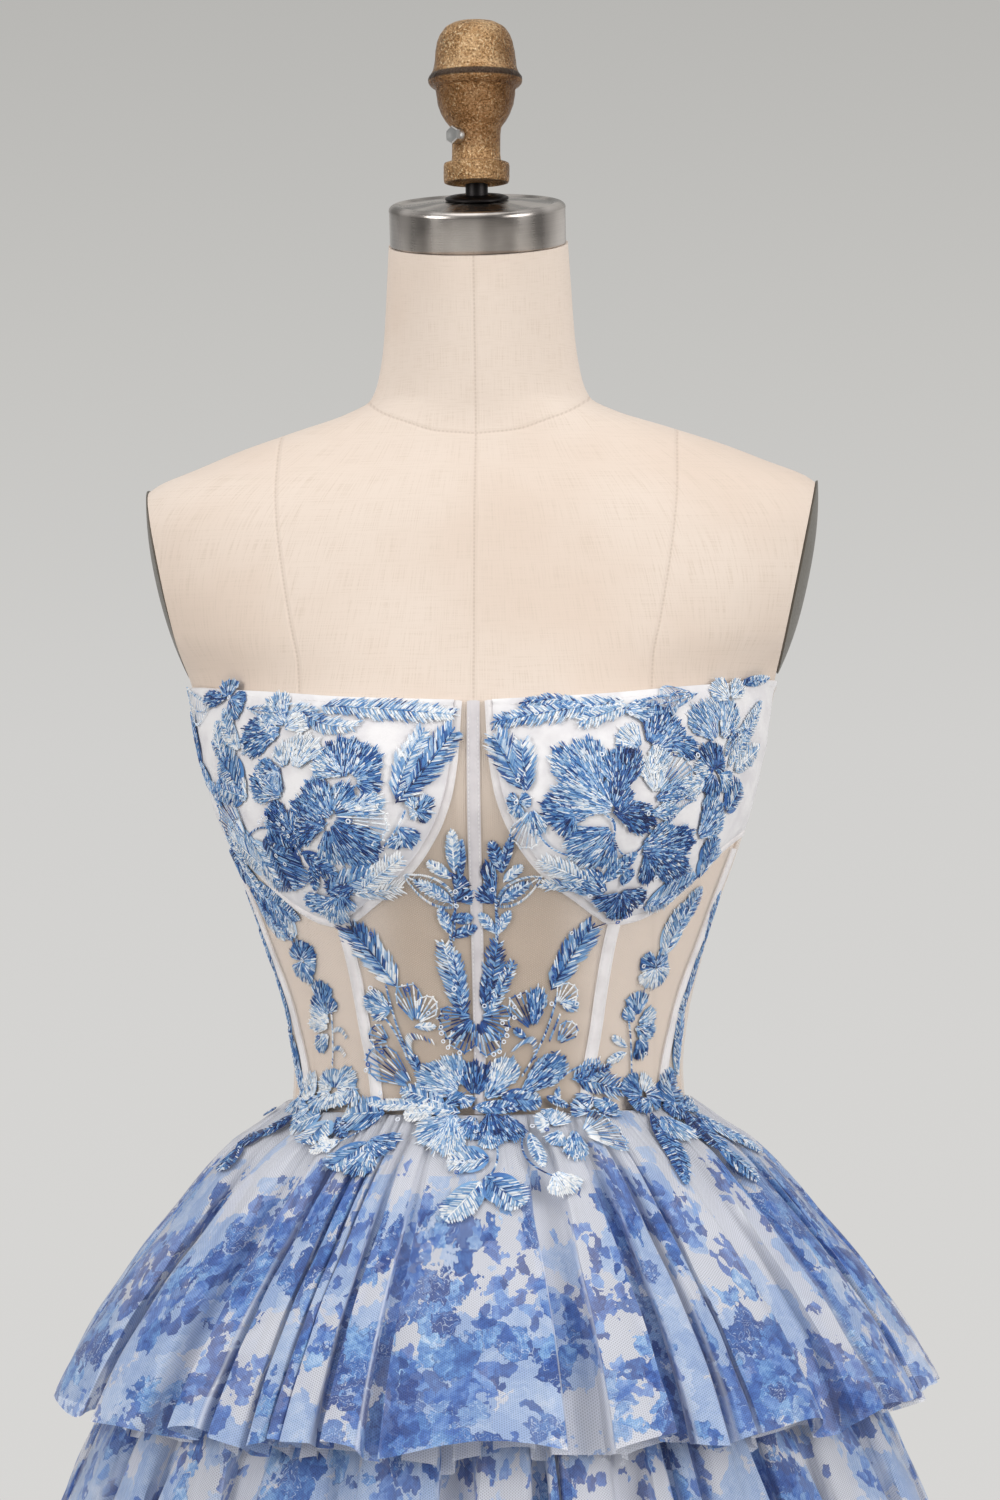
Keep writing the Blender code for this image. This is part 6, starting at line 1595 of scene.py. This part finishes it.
def motifStitches(kind, long, wide, rng):
    # each row: two ends (along, across, lift), part of the way for the shade, shade step, thickness
    pitch, dome = stitchPlan["pitch"], stitchPlan["dome"]
    rows = []

    def add(first, last, part, shade=0.0, thick=1.0):
        values = np.broadcast_arrays(*first, *last, part, shade, thick)
        rows.append(np.stack([np.asarray(value, float).ravel() for value in values], -1))

    def cord(reach, step=0.0012, thick=1.2, shade=-0.1, lift=None):
        count = max(4, int(reach * long / step))
        part = np.linspace(0.0, reach, count)
        add((part * long, -0.0003, lift or dome), (part * long + step * 1.5, 0.0003, lift or dome), part, shade, thick)

    if kind == "leaf":
        count = max(6, int(long / pitch))
        part = (np.arange(count) + 0.5) / count
        half = wide / 2 * leafHalf(part)
        for side in (-1, 1):
            tip = half * rng.uniform(0.84, 1.08, count)
            ahead = np.minimum(0.55 * half + 0.0006, (1 - part) * long * 0.85)
            cut = np.where(half > 0.0028, rng.uniform(0.4, 0.66, count), 1.0)
            stray = rng.normal(0, 0.00022, count)
            middle = (part * long + ahead * cut + stray, side * (0.0002 + tip * cut), 0.0002 + dome * (1 - cut) * 0.9)
            add((part * long, side * 0.0002, dome), middle, part, 0.04 * side)
            outer = cut < 1
            end = ((part * long + ahead + stray)[outer], (side * tip)[outer], 0.0002)
            add(tuple(value[outer] for value in middle), end, part[outer], 0.04 * side + 0.08)
        cord(0.9, shade=0.18 if rng.random() < 0.5 else -0.16)
    elif kind == "petal":
        count = max(7, int(wide * 1.2 / pitch))
        rings = max(3, int(round(long / 0.0034)))
        for ring in range(rings):
            shift = 0.5 * (ring % 2) / count
            turn = np.clip(np.linspace(-0.97, 0.97, count) + shift + rng.normal(0, 0.25 / count, count), -1, 1)
            along, across = petalEdge(turn, long, wide)
            low = np.clip((ring - 0.15) / rings + rng.normal(0, 0.1 / rings, count), 0.03, 1)
            high = (ring + 1.0 + rng.normal(0, 0.18, count)) / rings
            if ring:  # fewer stitches near the foot, where they crowd
                few = np.full(count, True)
            else:
                few = np.arange(count) % 2 == 0
            ends = []
            for part in (low, high):
                rise = dome * np.sin(pi * np.clip(part, 0.0, 1.0) ** 0.7) * (1 - 0.5 * turn ** 2) + 0.0001
                ends.append((along * part, across * (0.12 + 0.88 * part) + rng.normal(0, 0.00018, count), rise))
            ends = [tuple(value[few] for value in end) for end in ends]
            add(ends[0], ends[1], ((low + high) / 2)[few], 0.1 * (ring + 1) / rings - 0.06)
    elif kind == "fan":
        count = max(5, int(wide / 0.0019))
        turn = np.linspace(-0.92, 0.92, count)
        along, across = petalEdge(turn, long, wide)
        for low, high in ((0.1, 0.42), (0.38, 0.72), (0.68, 1.0)):
            ends = ((along * at, across * (0.1 + 0.9 * at), dome * rise) for at, rise in ((low, 0.7), (high, 0.6)))
            add(*ends, (low + high) / 2, 0.0, 1.25)
        add((along[:-1], across[:-1], 0.0005), (along[1:], across[1:], 0.0005), 1.0, 0.12, 1.1)
        add((along * 0.99, across * 0.98, 0.0008), (along * 1.05, across * 1.04, 0.0005), 1.0, 0.2, 1.5)
    elif kind in ("fern", "feather"):
        gap, ahead, low, strands = strandLook[kind]
        count = max(5, int(long * 0.93 / gap))
        part = np.linspace(0.02, 0.93, count)
        half = wide / 2 * (low + (1 - low) * np.sin(pi * (0.12 + 0.8 * part))) * (1 - 0.25 * part ** 3)
        for side in (-1, 1):
            size = half * rng.uniform(0.72, 1.12, count)
            start = part * long + 0.4 * gap * side
            shade = rng.uniform(-0.08, 0.08, count)
            for strand in range(strands):
                foot, reach, out = start - strand * 0.00065, ahead * size, side * size
                add((foot, side * 0.0002, 0.0006), (foot + reach * (0.5 - 0.04 * strand), out * 0.56, 0.0007),
                    part, shade, 1.05)
                add((foot + reach * 0.42, out * 0.46, 0.0007),
                    (foot + reach * (1 - 0.12 * strand), out * (1 - 0.1 * strand), 0.0002), part, shade + 0.06)
        cord(0.97, lift=0.0008)
    elif kind == "ribbon":
        count = max(8, int(long / pitch))
        part = (np.arange(count) + 0.5) / count
        half = wide / 2 * leafHalf(part)
        for side in (-1, 1):
            add((part * long, side * half, 0.0002),
                (part * long + 0.001, side * np.maximum(half - 0.0016, 0), 0.0006), part, 0.05)
        inner = part[::3]
        width = np.maximum(wide / 2 * leafHalf(inner) - 0.0014, 0.0003)
        add((inner * long, -width, 0.0001), (inner * long + 0.0012, width, 0.0001), inner, -0.05, 0.5)
        cord(0.92, thick=0.9)
    else:
        count = max(4, int(long / 0.0009))
        part = np.linspace(0.0, 1.0, count)
        add((part * long - 0.0005, -wide * 0.38, 0.0004), (part * long + 0.0006, wide * 0.38, 0.0004), part, 0.0, 1.05)
    return np.concatenate(rows)


def motifSkin(kind, long, wide):
    # the padding under the stitches of a leaf or petal
    dome = stitchPlan["dome"]
    if kind == "leaf":
        part, turn = np.meshgrid(np.linspace(0.02, 0.98, 9), np.linspace(-1, 1, 5), indexing="ij")
        return part * long, turn * wide / 2 * leafHalf(part) * 0.94, dome * 0.9 * (1 - turn ** 2) - 0.0003, part
    part, turn = np.meshgrid(np.linspace(0.08, 0.96, 7), np.linspace(-0.95, 0.95, 9), indexing="ij")
    along, across = petalEdge(turn, long, wide)
    rise = dome * 0.9 * np.sin(pi * part ** 0.7) * (1 - 0.5 * turn ** 2) - 0.0002
    return along * part, across * (0.12 + 0.88 * part), rise, part


def makeThread():
    finish, shader = newFinish("embroideryThread", tone(70, 122, 190), 0.38, Sheen_Weight=0.25,
                               Sheen_Roughness=0.35)
    shade = attributeOf("shade")
    drift = noise(placeOf(), 90.0, 2.0)
    shade = timesPlus(calc("SUBTRACT", drift, 0.5), 0.28, shade, clamp=True)
    colour = ramp(shade, [(0.0, 16, 38, 92), (0.2, 36, 80, 152), (0.4, 80, 136, 198),
                                (0.6, 142, 182, 220), (0.78, 206, 221, 238), (1.0, 250, 251, 252)])
    wire(colour, shader["Base Color"])
    twist = noise(placeOf(), 2600.0, 1.0)
    wire(bump(twist, 0.25, 0.0002), shader["Normal"])
    return finish


def makeSequinFinish():
    finish, shader = newFinish("pearlSequin", tone(236, 242, 252), 0.18, Coat_Weight=0.6)
    colour = blendColour(attributeOf("shade"), tone(52, 96, 176), tone(240, 245, 254))
    wire(colour, shader["Base Color"])
    wire(bump(noise(placeOf(), 1800.0, 1.0), 0.1, 0.0002), shader["Normal"])
    return finish


def makeStitchTree(name, finish, ring=False):
    group, given, result = copiesGroup(name, "Places", [("Thread", "Float", 1.0)])
    if ring:
        line = put("GeometryNodeCurvePrimitiveCircle", {"Resolution": 10, "Radius": 0.5}).outputs[0]
        wall = put("GeometryNodeCurvePrimitiveCircle", {"Resolution": 5, "Radius": 0.17}).outputs[0]
        one = put("GeometryNodeCurveToMesh", {"Curve": line, "Profile Curve": wall}).outputs[0]
    else:
        one = put("GeometryNodeMeshUVSphere", {"Segments": 4, "Rings": 3, "Radius": 0.5}).outputs[0]
    turn, size = (put("GeometryNodeInputNamedAttribute", {"Name": label}, data_type="FLOAT_VECTOR").outputs[0]
                  for label in ("turn", "size"))
    size = put("ShaderNodeVectorMath", {0: size, "Scale": given["Thread"]}, operation="SCALE").outputs[0]
    putCopies(given["Places"], one, turn, size, finish, result)
    return group


def eulerTurns(axes):
    # X across the thread and away from the cloth, Z along the thread
    first, second, third = axes
    return np.stack([np.arctan2(second[:, 2], third[:, 2]), -np.arcsin(np.clip(first[:, 2], -1, 1)),
                     np.arctan2(first[:, 1], first[:, 0])], -1)


def placesMesh(name, points, turns, sizes, shades):
    mesh = bpy.data.meshes.new(name)
    mesh.from_pydata(points.tolist(), [], [])
    for label, values in (("turn", turns), ("size", sizes)):
        made = mesh.attributes.new(label, "FLOAT_VECTOR", "POINT")
        made.data.foreach_set("vector", values.astype(np.float32).ravel())
    setValues(mesh, {"shade": shades})
    return mesh


def unit(vectors):
    return vectors / np.maximum(np.linalg.norm(vectors, axis=-1, keepdims=True), 1e-9)


def groundStep(angle, height, turn, rise):
    # from a little before a place on the ground to a little after it
    return stitchGround(angle + turn, height + rise, 0.0) - stitchGround(angle - turn, height - rise, 0.0)


def groundNormal(angle, height):
    nudge = 3e-4
    return unit(np.cross(groundStep(angle, height, nudge / 0.1, 0), groundStep(angle, height, 0, nudge)))


def motifFrame(row, index):
    # the foot, the direction of the tip, and how far one radian or one metre of height goes on the ground
    angle, height = np.radians([row[1], row[3]]), np.array([row[2], row[4]]) / 1000
    middle, level = np.array([angle.mean()]), np.array([height.mean()])
    nudge = 1e-3
    around = np.linalg.norm(groundStep(middle, level, nudge, 0)) / (2 * nudge)
    upward = np.linalg.norm(groundStep(middle, level, 0, nudge)) / (2 * nudge)
    run, rise = (angle[1] - angle[0]) * around, (height[1] - height[0]) * upward
    long = hypot(run, rise)
    lift = stitchPlan["base"] + stitchPlan["layer"] * (index % stitchPlan["layers"])
    return angle[0], height[0], run / long, rise / long, around, upward, long, lift


def onGround(place, bend, along, across, rise):
    angle, height, run, lean, around, upward, long, lift = place
    part = np.clip(along / long, 0, 1)
    across = across + bend * long * 4 * part * (1 - part)
    return (angle + (run * along - lean * across) / around, height + (lean * along + run * across) / upward,
            rise + lift)


def makeMotifs(name, rows, nodes, seed):
    plan = stitchPlan
    rng = np.random.default_rng(plan["seed"] + seed)
    ends = ([], [])
    shades, thick = [], []
    skins, faces, skinShades, count = [], [], [], 0
    for index, row in enumerate(rows):
        kind, wide, low, high = row[0], row[5] / 1000, row[6] / 100, row[7] / 100
        bend = row[8] if len(row) > 8 else 0
        place = motifFrame(row, index)
        made = motifStitches(kind, place[6], wide, rng)
        for end, first in zip(ends, (0, 3)):
            end.append(np.stack(onGround(place, bend, *made[:, first:first + 3].T), -1))
        shades.append(low + (high - low) * made[:, 6] + made[:, 7])
        thick.append(made[:, 8])
        if kind in ("leaf", "petal"):
            along, across, rise, part = motifSkin(kind, place[6], wide)
            skins.append(np.stack([value.ravel() for value in onGround(place, bend, along, across, rise)], -1))
            faces.append(gridFaces(*along.shape, start=count, flip=True))
            # the padding is a little darker than its stitches: painted shade in the gaps between them
            skinShades.append((low + (high - low) * part - plan["under"]).ravel())
            count += along.size
    first, last = (np.concatenate(end) for end in ends)
    start, finish = stitchGround(*first.T), stitchGround(*last.T)
    middle = (first + last) / 2
    along = finish - start
    length = np.linalg.norm(along, axis=-1)
    away = groundNormal(middle[:, 0], middle[:, 1])
    third = unit(along)
    second = unit(np.cross(third, away))
    turns = eulerTurns((np.cross(second, third), second, third))
    thick = np.concatenate(thick) * rng.uniform(*plan["thick"], len(length))
    sizes = np.stack([plan["height"] * thick, plan["width"] * thick, length * plan["stretch"] + plan["ends"]], -1)
    shades = np.concatenate(shades) + rng.normal(0, plan["jitter"], len(length))
    shades = np.where(rng.random(len(length)) < plan["glint"], shades + plan["glintShade"], shades)
    places = placesMesh(name + "Places", (start + finish) / 2, turns, sizes, np.clip(shades, 0, 1))
    stitches = growPiece(name + "Stitches", places, stitchTree, {"Thread": 1.0})
    finishPiece(stitches, "blue_embroidery", *nodes)
    if skins:
        values = {"shade": np.clip(np.concatenate(skinShades), 0, 1)}
        skin = addPiece(name + "Padding", stitchGround(*np.concatenate(skins).T), np.concatenate(faces),
                        embroideryThread, values=values, smooth=70)
        finishPiece(skin, "blue_embroidery")
    print("embroidery", name, len(rows), "motifs", len(length), "stitches", len(stitches.data.polygons), "faces")


sequinLook = {"lift": 0.0019, "tilt": 0.16, "sizes": (0.0019, 0.0024), "flat": 0.8, "pale": 0.8}


def makeSequins():
    look = sequinLook
    table = np.array(sequinTable)
    rng = np.random.default_rng(stitchPlan["seed"])
    angle, height = np.radians(table[:, 0]), table[:, 1] / 1000
    points = stitchGround(angle, height, look["lift"])
    away = unit(groundNormal(angle, height) + rng.normal(0, look["tilt"], points.shape))
    side = unit(np.cross(np.array((0.0, 0.0, 1.0)), away))
    turns = eulerTurns((side, np.cross(away, side), away))
    sizes = rng.uniform(*look["sizes"], len(points))[:, None] * np.array((1, 1, look["flat"]))
    shades = np.where(rng.random(len(points)) < look["pale"], 1.0, 0.0)
    tree = makeStitchTree("sequinPlaces", makeSequinFinish(), ring=True)
    places = placesMesh("sequinPlaces", points, turns, sizes, shades)
    piece = growPiece("ringSequins", places, tree, {"Thread": 1.0})
    finishPiece(piece, "blue_embroidery")


embroideryThread = makeThread()
stitchTree = makeStitchTree("satinStitch", embroideryThread)
cupMotifs = ("cup_spray", "cup_flower", "cup_leaf", "cup_side_flower", "cup_foot_leaves")
motifNodes = {
    "cupLeft": [name + "_left" for name in cupMotifs], "cupRight": [name + "_right" for name in cupMotifs],
    "sideLeft": ["front_frond_left", "side_sprig_left"], "frontMiddle": ["front_butterfly"],
    "sideRight": ["front_frond_right", "side_sprig_right"], "waistLeft": ["waist_leaves_left", "waist_spray_left"],
    "waistMiddle": ["waist_flower", "waist_drop"], "waistRight": ["waist_leaves_right", "waist_spray_right"],
}
for index, (name, rows) in enumerate(motifTable.items()):
    makeMotifs(name, rows, motifNodes[name], index)
makeSequins()
print("stage: embroidery")


# Floor, light and camera

floorLook = {"radius": 3.4, "sides": 96}


def makeFloor():
    finish, shader = newFinish("paleFloor", tone(214, 213, 210), 0.8)
    grain = noise(placeOf(), 3.0, 4.0)
    wire(blendColour(grain, tone(210, 209, 206), tone(216, 215, 212)), shader["Base Color"])
    radius, sides = floorLook["radius"], floorLook["sides"]
    turn = np.linspace(0, 2 * pi, sides, endpoint=False)
    points = np.stack([radius * np.cos(turn), radius * np.sin(turn), np.zeros(sides)], -1)
    floor = addPiece("paleFloor", points, [list(range(sides))], finish)


def makeWorld():
    world = bpy.data.worlds.new("studio")
    bpy.context.scene.world = world
    world.use_nodes = True
    wiring["tree"] = world.node_tree
    world.node_tree.nodes.clear()
    parts = put("ShaderNodeSeparateXYZ", {0: put("ShaderNodeTexCoord").outputs["Generated"]}).outputs
    wall = ramp(timesPlus(parts[2], 2.0, 0.5), [
        (0.1, 216, 215, 213), (0.34, 213, 212, 210), (0.5, 209, 208, 206), (0.7, 197, 196, 193),
        (0.9, 182, 181, 178), (1.0, 176, 175, 172)])
    room = ramp(timesPlus(parts[2], 0.5, 0.5), [
        (0.0, 160, 159, 157), (0.45, 126, 125, 124), (0.6, 150, 149, 148), (1.0, 208, 208, 208)])
    colour = blendColour(step(parts[1], 0.75, 0.45), wall, room)
    back = put("ShaderNodeBackground", {"Color": colour, "Strength": 1.0}).outputs[0]
    put("ShaderNodeOutputWorld", {"Surface": back})


studioLights = (
    {"name": "leftWindow", "place": (-2.15, -1.75, 2.0), "wide": 1.3, "tall": 1.9, "power": 39},
    {"name": "rightWindow", "place": (2.2, -1.6, 1.9), "wide": 1.3, "tall": 1.9, "power": 42},
    {"name": "overhead", "place": (0.0, -0.6, 3.4), "wide": 1.6, "tall": 1.6, "power": 13},
)


lightPlan = {"colour": (1.0, 0.993, 0.982), "aim": 1.15}


def makeLights():
    for row in studioLights:
        lamp = bpy.data.lights.new(row["name"], "AREA")
        lamp.shape = "RECTANGLE"
        lamp.size = row["wide"]
        lamp.size_y = row["tall"]
        lamp.energy = row["power"]
        lamp.color = lightPlan["colour"]
        holder = newObject(row["name"], lamp)
        holder.location = row["place"]
        aim = Vector((0, 0, lightPlan["aim"])) - Vector(row["place"])
        holder.rotation_euler = aim.to_track_quat("-Z", "Y").to_euler()


cameraPlan = {
    "distance": 2.3, "height": 1.243, "turn": radians(3), "roll": radians(-0.7), "lens": 95.17, "shift": 0.0103,
}


def makeCamera():
    plan = cameraPlan
    lens = bpy.data.cameras.new("camera")
    lens.lens = plan["lens"]
    lens.sensor_width = 36
    lens.shift_x = plan["shift"]
    lens.clip_start = 0.05
    lens.dof.use_dof = False
    camera = newObject("camera", lens)
    turn, far = plan["turn"], plan["distance"]
    place = Matrix.Translation((far * sin(turn), -far * cos(turn), plan["height"])) @ Matrix.Rotation(turn, 4, "Z")
    camera.matrix_world = place @ Matrix.Rotation(pi / 2, 4, "X") @ Matrix.Rotation(plan["roll"], 4, "Z")
    bpy.context.scene.camera = camera
    bpy.context.scene.view_settings.view_transform = "Standard"
    bpy.context.scene.cycles.transparent_max_bounces = 32


makeFloor()
makeWorld()
makeLights()
makeCamera()
print("stage: floor, light and camera")
